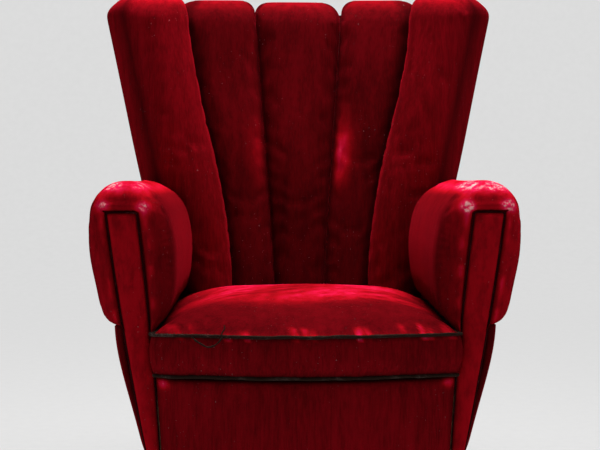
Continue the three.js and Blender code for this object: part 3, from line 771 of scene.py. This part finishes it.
def arm_rings(thick):
    """The arm as rings from front to back.

    Each ring is the outline drawn towards the facing by a share: nothing along the arm, more in a quarter ellipse at
    the front, which ends in a padded ridge, and all the way in the recess that the facing lies in. The rings lean
    inwards and fall to the back, and end against the wing.
    """
    turn = np.linspace(0, np.pi / 2, 16)
    nose = 0.070 * (1 - np.cos(turn[1:]))
    recess = [0.0150, 0.0146, 0.0070, 0.0004, -0.0026, -0.0038, -0.0034, -0.0016]
    share_recess = [0.0, 0.02, 0.04, 0.08, 0.13, 0.19, 0.25, 0.30]
    share_nose = 0.33 + 0.67 * np.sin(turn[1:])
    along = np.linspace(0.084, 0.500, 43)
    end = 0.500 + (ARM_LENGTH - 0.500) * np.sin(turn[1:])
    share_end = 0.42 + 0.58 * np.cos(turn[1:])
    share = np.concatenate([share_recess, share_nose, np.ones(len(along)), share_end])[:, None]
    depth = np.concatenate([recess, nose, along, end])[:, None]

    outline = arm_outline(260)
    x, z = outline[None, :, 0], outline[None, :, 1]
    middle, half = facing_middle(z), facing_half(np.minimum(z, FACING_TOP)) + 0.0014
    near_x = np.clip(x, middle - half, middle + half)
    near_z = np.minimum(z, FACING_TOP + 0.0014)
    x, z = mix(near_x, x, share), mix(near_z, z, share)
    turned = np.arctan2(z - ARM_CORE_Z, x - ARM_CORE_X)
    gathers = bell(depth - 0.016, 0.020) * np.sin(34 * turned + 2 * np.sin(5 * turned)) * smooth((z - 0.45) / 0.1)
    swell = 1 + 0.006 * gathers
    x, z = mix(ARM_CORE_X, x, swell), mix(ARM_CORE_Z, z, swell)
    puff = 1 + 0.003 * lumps(xyz(x, depth, z), 0.26, 5) * smooth((depth - 0.03) / 0.08)
    x, z = mix(ARM_CORE_X, x, puff), mix(ARM_CORE_Z, z, puff)
    face = wing_front(x, z, thick) + 0.02
    reach = mix(np.minimum(face, ARM_LENGTH), ARM_LENGTH, smooth((x - wing_edge(z) + 0.03) / 0.05))
    late = smooth((depth - 0.25) / (ARM_LENGTH - 0.25))
    depth = depth * mix(1, np.minimum(reach / ARM_LENGTH, 1), late)
    fall = ARM_FALL * depth * np.clip((z - 0.430) / 0.220, 0, 1)
    return xyz(x - TOE_IN * depth, FRONT + depth, z - fall)


def facing_grid(front, back, margin, dish):
    """The strip on an arm's front, as an outer and an inner grid. It widens upwards to a square head."""
    a, b = grid(21, 110)
    top, corner = FACING_TOP + margin, 0.005
    z = mix(RAIL_BOTTOM - 0.003, top, 1 - ((1 - b) / 2) ** 1.4)
    half = facing_half(np.minimum(z, FACING_TOP)) + margin - rounding(z, top, corner)
    x = facing_middle(z) + a * half
    return xyz(x, FRONT + front + dish * a**2, z), xyz(x, FRONT + back, z)


class ARMCHAIR_OT_arms(bpy.types.Operator):
    """Two rolled arms with a recess in front for the facing, and the facings themselves"""

    bl_idname = "armchair.arms"
    bl_label = "Arms and facings"

    def execute(self, context):
        rings = arm_rings(context.scene.armchair_sizes.wing)
        x, y, z = np.moveaxis(rings, -1, 0)
        depth = y - FRONT
        ring = np.arange(len(rings))[:, None]
        roof = np.interp(depth, (0, ARM_LENGTH), (0.681, 0.642))
        # Painted highlight together with rubbed pile on the arm's top, strongest towards the front; the marks at the
        # facing's upper corners are real threadbare places.
        top = smooth((z - roof + 0.032) / 0.030)
        corners = np.maximum(bell(x - 0.300, 0.014), bell(x - 0.380, 0.014))
        shoulder = bell(depth, 0.012) * bell(z - 0.637, 0.012) * corners
        streak = 0.5 + 0.5 * lumps(rings * np.array([1.0, 0.25, 1.0]), 0.05, 3)
        near = 0.70 + 0.50 * bell(depth - 0.02, 0.15)
        # Painted highlight on the arm's front face and in streaks along the padded ridge round the facing.
        ridge = bell(ring * len(rings) / (len(rings) - 1) - 6.0, 1.6) * smooth(0.3 + 0.8 * lumps(rings, 0.035, 13))
        face = 0.16 * smooth((0.040 - depth) / 0.020) + 0.24 * ridge
        wear = np.clip(top * (0.42 + 0.36 * streak) * near + 0.9 * shoulder + face, 0, 1)
        # Painted shade, carried by the seam mask: on the arm's inner side, in the recess round the facing and under the
        # outer lobe.
        inside = 0.66 * smooth((0.306 - x) / 0.048) * smooth((roof - 0.026 - z) / 0.040)
        groove_shade = smooth((depth - 0.0015) / 0.006) * smooth((0.0155 - depth) / 0.002) * (ring < 4)
        under = bell(z - 0.405, 0.012) * smooth((x - 0.34) / 0.02)
        seam = np.clip(groove_shade + under + inside, 0, 1)
        held = (depth < 0.0148) | (ring < 8) | (z < 0.420) | (depth > 0.50)
        outer, inner = facing_grid(-0.0095, 0.0150, -0.001, 0.0055)
        outer[..., 1] += lumps(outer, 0.10, 8) * 0.0007
        # The facing strips get an even painted highlight and no painted shade.
        even = {"wear": np.full(outer.shape[:2], 0.25), "seam": np.zeros(outer.shape[:2])}
        for side, sign in SIDES:
            rubbed = np.clip(wear * (1.0 if sign < 0 else 1.3), 0, 1)
            pad = loft(f"{side}_arm_roll", sided(rings, sign), wear=rubbed, seam=seam, held=held)
            plump(pad, FIRM_GIVE)
            finish_piece(pad, velvet(), "chair", [f"{side}_arm_pad"])
            facing = slab(f"{side}_arm_strip", sided(outer, sign), sided(inner, sign), roundness=9, **even)
            finish_piece(facing, velvet(), "chair", [f"{side}_arm_facing"])
        return {"FINISHED"}


# ---- Seat cushion ----
def rear_curve(x):
    """How far the rear edge of the cushion and of the deck comes forwards at x: a parabola."""
    return 0.045 * (x / 0.260) ** 2


def cushion_line(count, out):
    """The cushion's outline seen from above, grown by out: x and depth, its points evenly apart.

    Its front is the seat's bow. In front of the arms each corner swells into an ear, because nothing holds it there.
    Behind the ear the sides run back with the arms' toe-in, and the rear is curved.
    """
    across = np.array([0, 0.05, 0.10, 0.15, 0.20, 0.24, 0.268])
    front = np.stack([across, CUSHION_FRONT - bow(across) - 0.008 * smooth((across - 0.18) / 0.09)], axis=1)
    ear = [(0.2805, -0.0262), (0.2868, -0.0222), (0.2864, -0.0166), (0.2810, -0.0128), (0.2784, -0.0070)]
    back_along = np.array([0.02, 0.10, 0.20, 0.30, 0.38])
    side = np.stack([CUSHION_HALF_WIDTH - TOE_IN * back_along, back_along], axis=1)
    corner = [(0.2600, 0.4120), (0.2540, 0.4270), (0.2420, 0.4355)]
    inwards = np.array([0.22, 0.17, 0.11, 0.05, 0])
    rear = np.stack([inwards, CUSHION_BACK - rear_curve(inwards)], axis=1)
    half = np.vstack([front, ear, side, corner, rear])
    whole = np.vstack([half, half[-2:0:-1] * np.array([-1, 1])])
    line = evenly(spline(whole, 2400, closed=True)[:-1], count, closed=True)
    ahead = np.roll(line, -1, axis=0) - np.roll(line, 1, axis=0)
    outwards = unit(np.stack([ahead[:, 1], -ahead[:, 0]], axis=1))
    return line + out * outwards, outwards


def cushion_rings(crown):
    """The cushion as rings from the middle of its underside, up its boxed sides, to the middle of its top.

    The sides bulge as a parabola between the two edges. The top rises as one minus the fourth power of the distance to
    the middle and partly its square, less towards the back, with short puckers along the edge.
    """
    line, outwards = cushion_line(360, 0)
    under = np.linspace(0.04, 1, 16) ** 0.8
    side = np.linspace(0, 1, 16)[1:-1]
    over = 1 - np.concatenate([[0, 0.004, 0.010, 0.018], np.linspace(0.03, 0.98, 46)])
    shrink = np.concatenate([under, np.ones(len(side)), over])[:, None]
    level = np.concatenate([np.zeros(len(under)), side, np.ones(len(over))])[:, None]
    middle = np.array([0.0, 0.220])
    boxed = 4 * level * (1 - level)
    rim = smooth((shrink - 0.95) / 0.05)
    flat = middle + (line - middle)[None] * shrink[..., None]
    flat = flat + outwards[None] * (rim * (0.0075 * boxed - 0.007 * (1 - level)))[..., None]
    x, depth = flat[..., 0], flat[..., 1]
    to_rear = np.clip((depth - CUSHION_FRONT + bow(x)) / (CUSHION_BACK - CUSHION_FRONT + FRONT_BOW), 0, 1)
    rise = crown * (1 - 0.65 * shrink**4 - 0.35 * shrink**2) * (1 - 0.30 * to_rear**5)
    z = mix(CUSHION_BOTTOM, CUSHION_EDGE, level) + rise * level
    place = xyz(x, depth, z)
    edge = bell((1 - shrink) * 0.27, 0.020) * level * (shrink < 0.999)
    ring = np.arctan2(depth - middle[1], x)
    z = z + 0.0009 * np.sin(90 * ring + 4 * np.sin(7 * ring)) * edge
    z = z + 0.0028 * lumps(place, 0.19, 17) * smooth((1 - shrink) / 0.15) * level
    depth = depth + 0.0014 * lumps(place, 0.09, 29) * boxed
    return xyz(x, FRONT + depth, z), level, shrink


class ARMCHAIR_OT_cushion(bpy.types.Operator):
    """The loose seat cushion, boxed and crowned"""

    bl_idname = "armchair.cushion"
    bl_label = "Seat cushion"

    def execute(self, context):
        rings, level, shrink = cushion_rings(context.scene.armchair_sizes.crown)
        x, y, z = np.moveaxis(rings, -1, 0)
        top = (level > 0.99) * smooth((1 - shrink) / 0.05)
        depth = y - FRONT
        # Painted highlight with rubbed pile patches, in blotches across the middle of the seat and strongest towards
        # the back; the ticks along the front welt are real rubbed pile.
        rubbed_and_lit_band = smooth((depth + bow(x) - 0.078) / 0.11) * smooth((0.50 - depth) / 0.12)
        rubbed_and_lit_band = rubbed_and_lit_band * mix(0.40, 1.0, smooth((0.25 - np.abs(x)) / 0.12))
        blotches = 0.30 * lumps(rings * np.array([0.5, 1.0, 1.0]), 0.12, 41) + 0.14 * lumps(rings, 0.035, 42)
        smudge = smooth(0.55 + blotches)
        ticks = smooth(0.2 + 0.9 * lumps(rings * np.array([1.0, 0.25, 0.25]), 0.016, 43))
        edge = smooth((shrink - 0.88) / 0.06) * (level > 0.9) * ticks * smooth(0.45 + 0.6 * lumps(rings, 0.09, 47))
        edge = edge * smooth((0.045 - depth - bow(x)) / 0.030)
        wear = np.clip(0.06 + top * rubbed_and_lit_band * (0.10 + 0.53 * smudge) + 0.75 * edge, 0, 1)
        # Painted shade in the crease along the top welt, under the cushion, and on the seat's top round the lit
        # patches.
        seam = bell(z - CUSHION_EDGE, 0.006) * (shrink > 0.985) + bell(z - CUSHION_BOTTOM, 0.010)
        seam = np.clip(seam + 0.46 * top * (1 - rubbed_and_lit_band * (0.35 + 0.65 * smudge)) * (1 - 0.6 * edge), 0, 1)
        held = ((shrink > 0.985) & ((level > 0.95) | (level < 0.05))) | (level < 0.02)
        piece = loft("seat_cushion_pad", rings, wear=wear, seam=seam, held=held)
        plump(piece, SOFT_GIVE)
        nodes = ["seat_cushion_cover", "seat_cushion_filling"]
        finish_piece(piece, velvet(), "seat_cushion", nodes)
        return {"FINISHED"}


# ---- Welts ----
def edge_path(z, out, count):
    """Round the cushion at one height, wavering by about half a millimetre."""
    line, _ = cushion_line(count, out)
    path = xyz(line[:, 0], FRONT + line[:, 1], z)
    return path + 0.0006 * lumps(path, 0.07, 51)[:, None]


def facing_path(count):
    """Up one side of the facing, round its head and down the other side."""
    offset, shoulder, squareness = 0.0004, FACING_TOP - 0.006, 0.35
    rise = np.linspace(RAIL_BOTTOM, shoulder, 60)
    middle, half = facing_middle(rise), facing_half(rise) + offset
    turn = np.linspace(np.pi, 0, 30)
    head_x = middle[-1] + half[-1] * power(np.cos(turn), squareness)
    head_z = shoulder + 0.0066 * power(np.sin(turn), squareness)
    x = np.concatenate([middle - half, head_x, (middle + half)[::-1]])
    z = np.concatenate([rise, head_z, rise[::-1]])
    line = evenly(np.stack([x, z], axis=1), count)
    return xyz(line[:, 0], FRONT + 0.0035, line[:, 1])


class ARMCHAIR_OT_welts(bpy.types.Operator):
    """Piping round the cushion's edges and the facings, frayed in front, where a torn end hangs down"""

    bl_idname = "armchair.welts"
    bl_label = "Piping"

    def execute(self, context):
        radius = context.scene.armchair_sizes.welt
        for name, z, out in (
            ("cushion_top_piping", CUSHION_EDGE + 0.001, 0.0022),
            ("cushion_bottom_piping", CUSHION_BOTTOM + 0.002, -0.0042),
        ):
            path = edge_path(z, out, 900)
            piece = tube(f"{name}_cord", path, radius * (1 + 0.10 * lumps(path, 0.03, 61)), closed=True)
            finish_piece(piece, welt(), "seat_cushion", [name])
        # The facing cords are a near-black red: painted shade of the narrow recess each lies in.
        red = cord_material("red welt", (0.030, 0.0015, 0.0025))
        for side, sign in SIDES:
            piece = tube(f"{side}_facing_cord", sided(facing_path(420), sign), 0.0012, up=(0, 1, 0))
            finish_piece(piece, red, "chair", [f"{side}_facing_piping"])
        self.fray()
        self.torn_end()
        return {"FINISHED"}

    def fray(self):
        """Loose fibres along the front welt, thickest round the torn place: short bent cones a few millimetres long."""
        rng = np.random.default_rng(83)
        count, rows, sides = 260, 6, 4
        gathered, torn, scattered = rng.random(count) < 0.6, mix(TORN_LEFT, TORN_RIGHT, 0.4), 0.27
        x = np.where(gathered, rng.normal(torn, 0.045, count), rng.uniform(-scattered, scattered, count))
        x = np.clip(x, -0.275, 0.275)
        root = xyz(x, FRONT + CUSHION_FRONT - bow(x) - 0.003, CUSHION_EDGE + rng.uniform(-0.001, 0.003, count))
        aim = rng.normal(size=(count, 3)) * np.array([1.0, 0.35, 0.6]) + np.array([0, -0.25, 0.15])
        aim = unit(aim) * rng.uniform(0.002, 0.0065, count)[:, None]
        bend = rng.normal(size=(count, 3)) * 0.0014
        t = np.linspace(0, 1, rows)[None, :, None]
        line = root[:, None] + aim[:, None] * t + bend[:, None] * np.sin(np.pi * t)
        angle = np.linspace(0, 2 * np.pi, sides, endpoint=False)[:, None]
        side = unit(np.cross(aim, np.array([0.3, 1.0, 0.2])))
        over = unit(np.cross(aim, side))
        ring = side[:, None, None] * np.cos(angle) + over[:, None, None] * np.sin(angle)
        points = line[:, :, None] + 0.00028 * (1 - 0.7 * t)[..., None] * ring
        index = np.arange(count * rows * sides).reshape(count, rows, sides)
        faces = [quads(fibre, True) for fibre in index] + [index[:, 0, ::-1], index[:, -1]]
        piece = build("welt_fray", points.reshape(-1, 3), [np.vstack(faces)])
        finish_piece(piece, cord_material("frayed welt", (0.09, 0.035, 0.028)), "seat_cushion")

    def torn_end(self):
        """A frayed thread of the welt: a loop that hangs on the boxing, and a short end that stands up.

        Each point is a place between the two ends, how far it stands out, and its height from the cushion's edge.
        """
        loop = [
            (0.00, -0.0030, 0.003),
            (0.08, 0.0060, -0.004),
            (0.28, 0.0095, -0.011),
            (0.52, 0.0115, -0.017),
            (0.76, 0.0105, -0.013),
            (0.92, 0.0085, -0.004),
            (1.00, 0.0030, 0.004),
        ]
        stub = [(0.948, 0.003, 0.003), (0.983, -0.001, 0.009), (1.052, -0.006, 0.015), (1.034, -0.010, 0.021)]
        for name, points, count, radius in (("loop", loop, 90, 0.0016), ("end", stub, 30, 0.0011)):
            share, forward, rise = np.array(points).T
            x = mix(TORN_LEFT, TORN_RIGHT, share)
            path = spline(xyz(x, FRONT + CUSHION_FRONT - bow(x) - 0.004 - forward, CUSHION_EDGE + rise), count)
            thick = radius * (1 + 0.2 * lumps(path, 0.01, 71))
            piece = tube(f"welt_thread_{name}", path, thick, sides=8, up=(0, 1, 0.01))
            finish_piece(piece, welt(), "seat_cushion")


# ---- Border, outside covers and deck ----
def border_grids():
    """The padded panel below the cushion: it follows the bow, is fullest at mid height and narrows downwards."""
    a, b = grid(120, 40)
    z = mix(RAIL_BOTTOM - 0.005, DECK_TOP - 0.002, (b + 1) / 2)
    x = a * (facing_middle(z) - facing_half(z) - 0.0038)
    full = 0.0045 * (1 - b**2) + 0.0012 * lumps(xyz(x, 0, z), 0.15, 81)
    outer = FRONT - 0.010 + 0.005 * a**8 - full - bow(x)
    return xyz(x, outer, z), xyz(x, FRONT + 0.0126 - bow(x), z)


def outside_arm_grids():
    """The flat cover outside an arm, from the bottom rail up to the roll, drawn in a little along its middle."""
    a, b = grid(60, 60)
    z = mix(RAIL_BOTTOM - 0.004, 0.416, (b + 1) / 2)
    rear = back_point(back_half_width(z) - 0.014, -0.0385, z)[..., 1] - FRONT
    depth = mix(0.004, rear, (a + 1) / 2)
    slack = 0.0014 * lumps(xyz(0, depth, z), 0.2, 91) - 0.0015 * (1 - a**2) * (1 - b**2)
    full = 0.009 * smooth((0.10 - depth) / 0.10) * smooth((z - 0.12) / 0.08)
    x = side_half_width(z, depth)
    return xyz(x + slack + full, FRONT + depth, z), xyz(x - 0.006, FRONT + depth, z)


def outer_back_grids():
    """The cover behind the back: it follows the barrel, and its side edges tuck under the wings' lips."""
    a, b = grid(90, 200)
    z = mix(RAIL_BOTTOM - 0.004, CREST_TOP - 0.001, (b + 1) / 2)
    narrowed = smooth((z - LIP_BOTTOM + 0.012) / 0.010)
    half = mix(back_half_width(z) - 0.014, mix(wing_seam(z), wing_edge(z), 0.795), narrowed)
    slack = 0.0016 * lumps(xyz(a * half, 0, z), 0.25, 95) + 0.002 * (1 - a**2) * (1 - b**2)
    return back_point(a * half, -0.044 - slack, z), back_point(a * half, -0.0375, z)


def crest_grids():
    """A strip of velvet along the top of the crest rail. It shows only in the notches between the channels."""
    a, b = grid(90, 8)
    z = CREST_TOP + 0.0003 + 0 * a
    x = a * mix(wing_seam(z), wing_edge(z), 0.80)
    n = mix(-0.0420, 0.010, (b + 1) / 2)
    return back_point(x, n, z + 0.0008), back_point(x, n, z)


def deck_grids():
    """The stuffed platform under the cushion: flat on top, its sides turned down towards the rails."""
    a, b = grid(70, 70)
    t = (b + 1) / 2
    x = a * (0.267 - TOE_IN * mix(0.014, 0.540, t))
    depth = mix(0.014 - bow(x), 0.540 - rear_curve(x), t)
    rim = smooth((np.maximum(np.abs(a), np.abs(b)) - 0.82) / 0.18)
    top = DECK_TOP - 0.0015 + 0.001 * lumps(xyz(x, depth, 0), 0.12, 97) - 0.010 * rim**3
    return xyz(x, FRONT + depth, top), xyz(x, FRONT + depth, mix(0.293, 0.248, rim))


class ARMCHAIR_OT_covers(bpy.types.Operator):
    """Front border, outside arm covers, outer back, deck and dust cover"""

    bl_idname = "armchair.covers"
    bl_label = "Outside covers"

    def execute(self, context):
        self.cover("front_border_pad", border_grids(), "front_border", fill=0.6, roundness=10, rubbed_corners=0.75)
        self.cover("outer_back_panel", outer_back_grids(), "outer_back_cover")
        grids = outside_arm_grids()
        for side, sign in SIDES:
            self.cover(f"{side}_outside_arm_panel", [sided(g, sign) for g in grids], f"{side}_outside_arm_cover")
        deck = slab("seat_deck_pad", *deck_grids(), roundness=12)
        calico = woven("calico", (0.62, 0.57, 0.47), (0.42, 0.37, 0.29), 620.0, 0.0003)
        finish_piece(deck, calico, "chair", ["seat_deck"])
        self.cover("crest_strip", crest_grids(), fill=0.1)
        self.dust_cover()
        return {"FINISHED"}

    def cover(self, name, grids, *nodes, fill=0.2, roundness=40, rubbed_corners=0.0):
        """A piece of velvet drawn over the frame: darkened at its edges as painted shade where it tucks in, and rubbed
        at its upper corners if asked.
        """
        rows, cols = grids[0].shape[:2]
        a, b = grid(cols, rows)
        edge = smooth((np.maximum(np.abs(a), np.abs(b)) - 0.965) / 0.035)
        rubbed = rubbed_corners * bell(np.abs(a) - 0.955, 0.035) * bell(b - 0.90, 0.09)
        piece = slab(name, *grids, roundness=roundness, wear=0.08 + rubbed, seam=0.6 * edge * (1 - rubbed))
        finish_piece(piece, velvet(), "chair", nodes)

    def dust_cover(self):
        """A thin black cloth below the rails, bowed like the front and sagging by a few millimetres."""
        highest = high("dust_cover")
        rear = highest.y - FRONT
        a, b = grid(60, 60)
        t = (b + 1) / 2
        depth = mix(0.022, rear - 0.060, t)
        half = np.where(depth < 0.07, 0.216, mix(0.245, 0.220, np.clip((depth - 0.07) / 0.41, 0, 1)))
        x = a * half
        y = FRONT + mix(0.022 - bow(x), rear - 0.002, t)
        sag = 0.004 * (1 - a**2) * (1 - b**2) + 0.0006 * lumps(xyz(x, y, 0), 0.1, 99)
        upper = xyz(x, y, highest.z - sag)
        piece = slab("dust_cover_cloth", upper, upper - np.array([0, 0, 0.0010]), roundness=40)
        black = woven("black cambric", (0.030, 0.028, 0.030), (0.012, 0.011, 0.012), 700.0, 0.0002)
        finish_piece(piece, black, "chair", ["dust_cover"])


# ---- Feet and what is bare inside ----
def foot_rings(node, radius, lean):
    """A turned foot: a taper with a small bead below its head and an eased toe, which leans by a share of its drop."""
    lowest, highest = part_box(node)
    t = np.concatenate([np.linspace(0, 0.04, 5), np.linspace(0.06, 0.80, 24), np.linspace(0.81, 1, 26)])
    r = mix(0.0155, radius - 0.0030, np.clip(t / 0.82, 0, 1) ** 1.15)
    r = r - 0.0030 * (1 - smooth(t / 0.03)) + 0.0028 * bell(t - 0.865, 0.018)
    r = np.where(t > 0.90, radius - 0.0010 * bell(t - 0.90, 0.01), r)[:, None]
    turn = np.linspace(0, 2 * np.pi, 64, endpoint=False)
    z = mix(lowest.z, highest.z, t)[:, None]
    head_x = (lowest.x + highest.x) / 2
    head_y = lowest.y + radius if lean >= 0 else highest.y - radius
    return xyz(head_x + r * np.cos(turn), head_y + (RAIL_BOTTOM - z) * lean + r * np.sin(turn), z)


class ARMCHAIR_OT_feet(bpy.types.Operator):
    """Four turned feet"""

    bl_idname = "armchair.feet"
    bl_label = "Feet"

    def execute(self, context):
        dark = timber("stained foot wood", (0.075, 0.032, 0.016), (0.030, 0.013, 0.008), 0.45, 0.15, (1, 1, 0.12))
        for end, lean in (("front", 0.03), ("rear", -0.16)):
            for side, _ in SIDES:
                node = f"{side}_{end}_foot"
                piece = loft(f"{node}_turned", foot_rings(node, context.scene.armchair_sizes.foot, lean))
                finish_piece(piece, dark, "chair", [node])
        return {"FINISHED"}


class ARMCHAIR_OT_inside(bpy.types.Operator):
    """Finishes for what the frame already holds: rails, posts, blocks, glides, springs, webbing and hessian"""

    bl_idname = "armchair.inside"
    bl_label = "Frame and suspension"

    def execute(self, context):
        light, dark = (0.50, 0.32, 0.17), (0.33, 0.19, 0.09)
        across = timber("beech, grain across", light, dark, 0.6, 0.0, (0.12, 1, 1))
        upright = timber("beech, grain upright", light, dark, 0.6, 0.0, (1, 1, 0.12))
        along = timber("beech, grain front to back", light, dark, 0.6, 0.0, (1, 0.12, 1))
        hessian = woven("hessian", (0.42, 0.31, 0.18), (0.20, 0.14, 0.08), 240.0, 0.0006)
        endings = {
            "back_rail": across,
            "crest_rail": across,
            "front_seat_rail": across,
            "rear_seat_rail": across,
            "seat_rail": along,
            "arm_rail": along,
            "post": upright,
            "corner_block": across,
            "webbing": woven("jute webbing", (0.38, 0.27, 0.14), (0.22, 0.14, 0.07), 320.0, 0.0006),
            "hessian": hessian,
            "glide": steel("glide steel", (0.42, 0.41, 0.40), 0.42),
            "spring": steel("spring steel", (0.30, 0.29, 0.28), 0.40),
        }
        for name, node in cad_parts.items():
            material = next((finish for ending, finish in endings.items() if name.endswith(ending)), None)
            for slot in node.material_slots if material else ():
                slot.material = material
        return {"FINISHED"}


# ---- Stage ----
def area_light(name, place, aim, size, power, colour=(1, 1, 1), spread=180):
    light = bpy.data.lights.new(name, "AREA")
    light.spread = math.radians(spread)
    light.shape, light.size, light.size_y = "RECTANGLE", *size
    light.energy, light.color = power, colour
    lamp = put(name, light)
    lamp.location = place
    lamp.rotation_euler = (Vector(aim) - Vector(place)).to_track_quat("-Z", "Y").to_euler()


class ARMCHAIR_OT_stage(bpy.types.Operator):
    """Pale floor sweeping up into a wall that is open from behind, soft lights and the camera"""

    bl_idname = "armchair.stage"
    bl_label = "Stage"

    def execute(self, context):
        scene, settings = context.scene, context.scene.armchair_stage
        self.sweep()
        middle, over = (0, FRONT + 0.35, 0.5), (0, FRONT + 0.45, 0.5)
        warm = (1.0, 0.985, 0.97)
        area_light("overhead", (0.1, FRONT + 0.58, 2.7), over, (1.7, 0.9), settings.overhead, warm, 90)
        area_light("frontal", (-0.9, FRONT - 3.0, 1.9), middle, (2.2, 1.6), settings.frontal)
        for name, side in (("left side", -1), ("right side", 1)):
            area_light(name, (2.4 * side, FRONT - 0.5, 1.3), middle, (0.7, 1.6), settings.sides)
        area_light("backdrop", (0, 1.2, 3.4), (0, 4.2, 0.9), (4.0, 1.2), 20.0)
        scene.world = scene.world or bpy.data.worlds.new("studio")
        scene.world.use_nodes = True
        background = scene.world.node_tree.nodes["Background"]
        background.inputs["Color"].default_value = (1, 1, 1, 1)
        # Past the sweep's edge the camera sees its brightness again, and the light on the chair stays faint.
        s = Shader(scene.world.node_tree)
        seen = s.add("LightPath")["Is Camera Ray"]
        s.give(background.inputs["Strength"], s.add("MapRange", {"Value": seen, "To Min": 0.10, "To Max": 0.71})[0])
        scene.view_settings.view_transform = "Standard"
        self.camera(scene, settings.distance)
        return {"FINISHED"}

    def sweep(self):
        """A faintly glowing floor that curves up a quarter circle into a wall. It can't be seen from behind."""
        radius, rear, height = 1.4, 3.0, 4.5
        turn = np.linspace(0, np.pi / 2, 30)
        profile = np.vstack(
            [
                np.stack([np.linspace(-9, rear, 30), np.zeros(30)], axis=1),
                np.stack([rear + radius * np.sin(turn), radius * (1 - np.cos(turn))], axis=1)[1:],
                np.stack([np.full(8, rear + radius), np.linspace(radius, height, 9)[1:]], axis=1),
            ]
        )
        x, k = np.meshgrid(np.linspace(-7, 7, 30), np.arange(len(profile)))
        points = xyz(x, profile[k, 0], profile[k, 1]).reshape(-1, 3)
        mesh = bpy.data.meshes.new("studio_sweep")
        mesh.from_pydata(points.tolist(), [], quads(numbered(*x.shape)).tolist())
        mesh.polygons.foreach_set("use_smooth", np.ones(len(mesh.polygons), bool))
        material, s, shader = new_material("paper backdrop")
        tooth = s.noise(s.object(), 40.0, 3.0)
        paper, glow = s.blend(tooth, [0.07] * 3, [0.08] * 3), s.blend(tooth, [0.95] * 3, [1.0] * 3)
        s.feed(shader, Base_Color=paper, Roughness=0.95, Specular_IOR_Level=0.0)
        s.feed(shader, Emission_Color=glow, Emission_Strength=0.70)
        behind = s.add("NewGeometry")["Backfacing"]
        shown = s.add("MixShader", {0: behind, 1: shader.outputs[0], 2: s.add("BsdfTransparent")[0]})[0]
        s.give(s.tree.nodes["Material Output"].inputs["Surface"], shown)
        mesh.materials.append(material)
        put("studio_sweep", mesh)

    def camera(self, scene, distance):
        camera = bpy.data.cameras.new("camera")
        camera.lens, camera.sensor_width = 110.3, 36.0
        camera.clip_end = 60
        eye = put("camera", camera)
        turn, tilt = math.radians(1.28), math.radians(5.47)
        look = Vector((math.sin(turn) * math.cos(tilt), math.cos(turn) * math.cos(tilt), -math.sin(tilt)))
        eye.location = (-0.087, FRONT - distance, 0.927)
        eye.rotation_euler = look.to_track_quat("-Z", "Y").to_euler()
        scene.camera = eye


# ---- Panel and registration ----
STEPS = (
    ARMCHAIR_OT_back,
    ARMCHAIR_OT_arms,
    ARMCHAIR_OT_cushion,
    ARMCHAIR_OT_welts,
    ARMCHAIR_OT_covers,
    ARMCHAIR_OT_feet,
    ARMCHAIR_OT_inside,
    ARMCHAIR_OT_stage,
)


class ARMCHAIR_PT_sidebar(bpy.types.Panel):
    """Lists the steps that dress the chair, and their settings"""

    bl_idname = "ARMCHAIR_PT_sidebar"
    bl_label = "Armchair"
    bl_space_type = "VIEW_3D"
    bl_region_type = "UI"
    bl_category = "Armchair"

    def draw(self, context):
        for group_name in SETTINGS:
            settings = getattr(context.scene, group_name)
            for name in settings.bl_rna.properties.keys():
                if name not in ("rna_type", "name"):
                    self.layout.prop(settings, name)
        for step in STEPS:
            self.layout.operator(step.bl_idname)


SETTINGS = {"armchair_sizes": ArmchairSizes, "armchair_cloth": ArmchairCloth, "armchair_stage": ArmchairStage}


def register():
    for cls in (*SETTINGS.values(), *STEPS, ARMCHAIR_PT_sidebar):
        bpy.utils.register_class(cls)
    for name, cls in SETTINGS.items():
        setattr(bpy.types.Scene, name, PointerProperty(type=cls))


def unregister():
    for name in SETTINGS:
        delattr(bpy.types.Scene, name)
    for cls in (ARMCHAIR_PT_sidebar, *reversed(STEPS), *SETTINGS.values()):
        bpy.utils.unregister_class(cls)


def main():
    register()
    for step in STEPS:
        family, name = step.bl_idname.split(".")
        getattr(getattr(bpy.ops, family), name)()


if __name__ == "__main__":
    main()
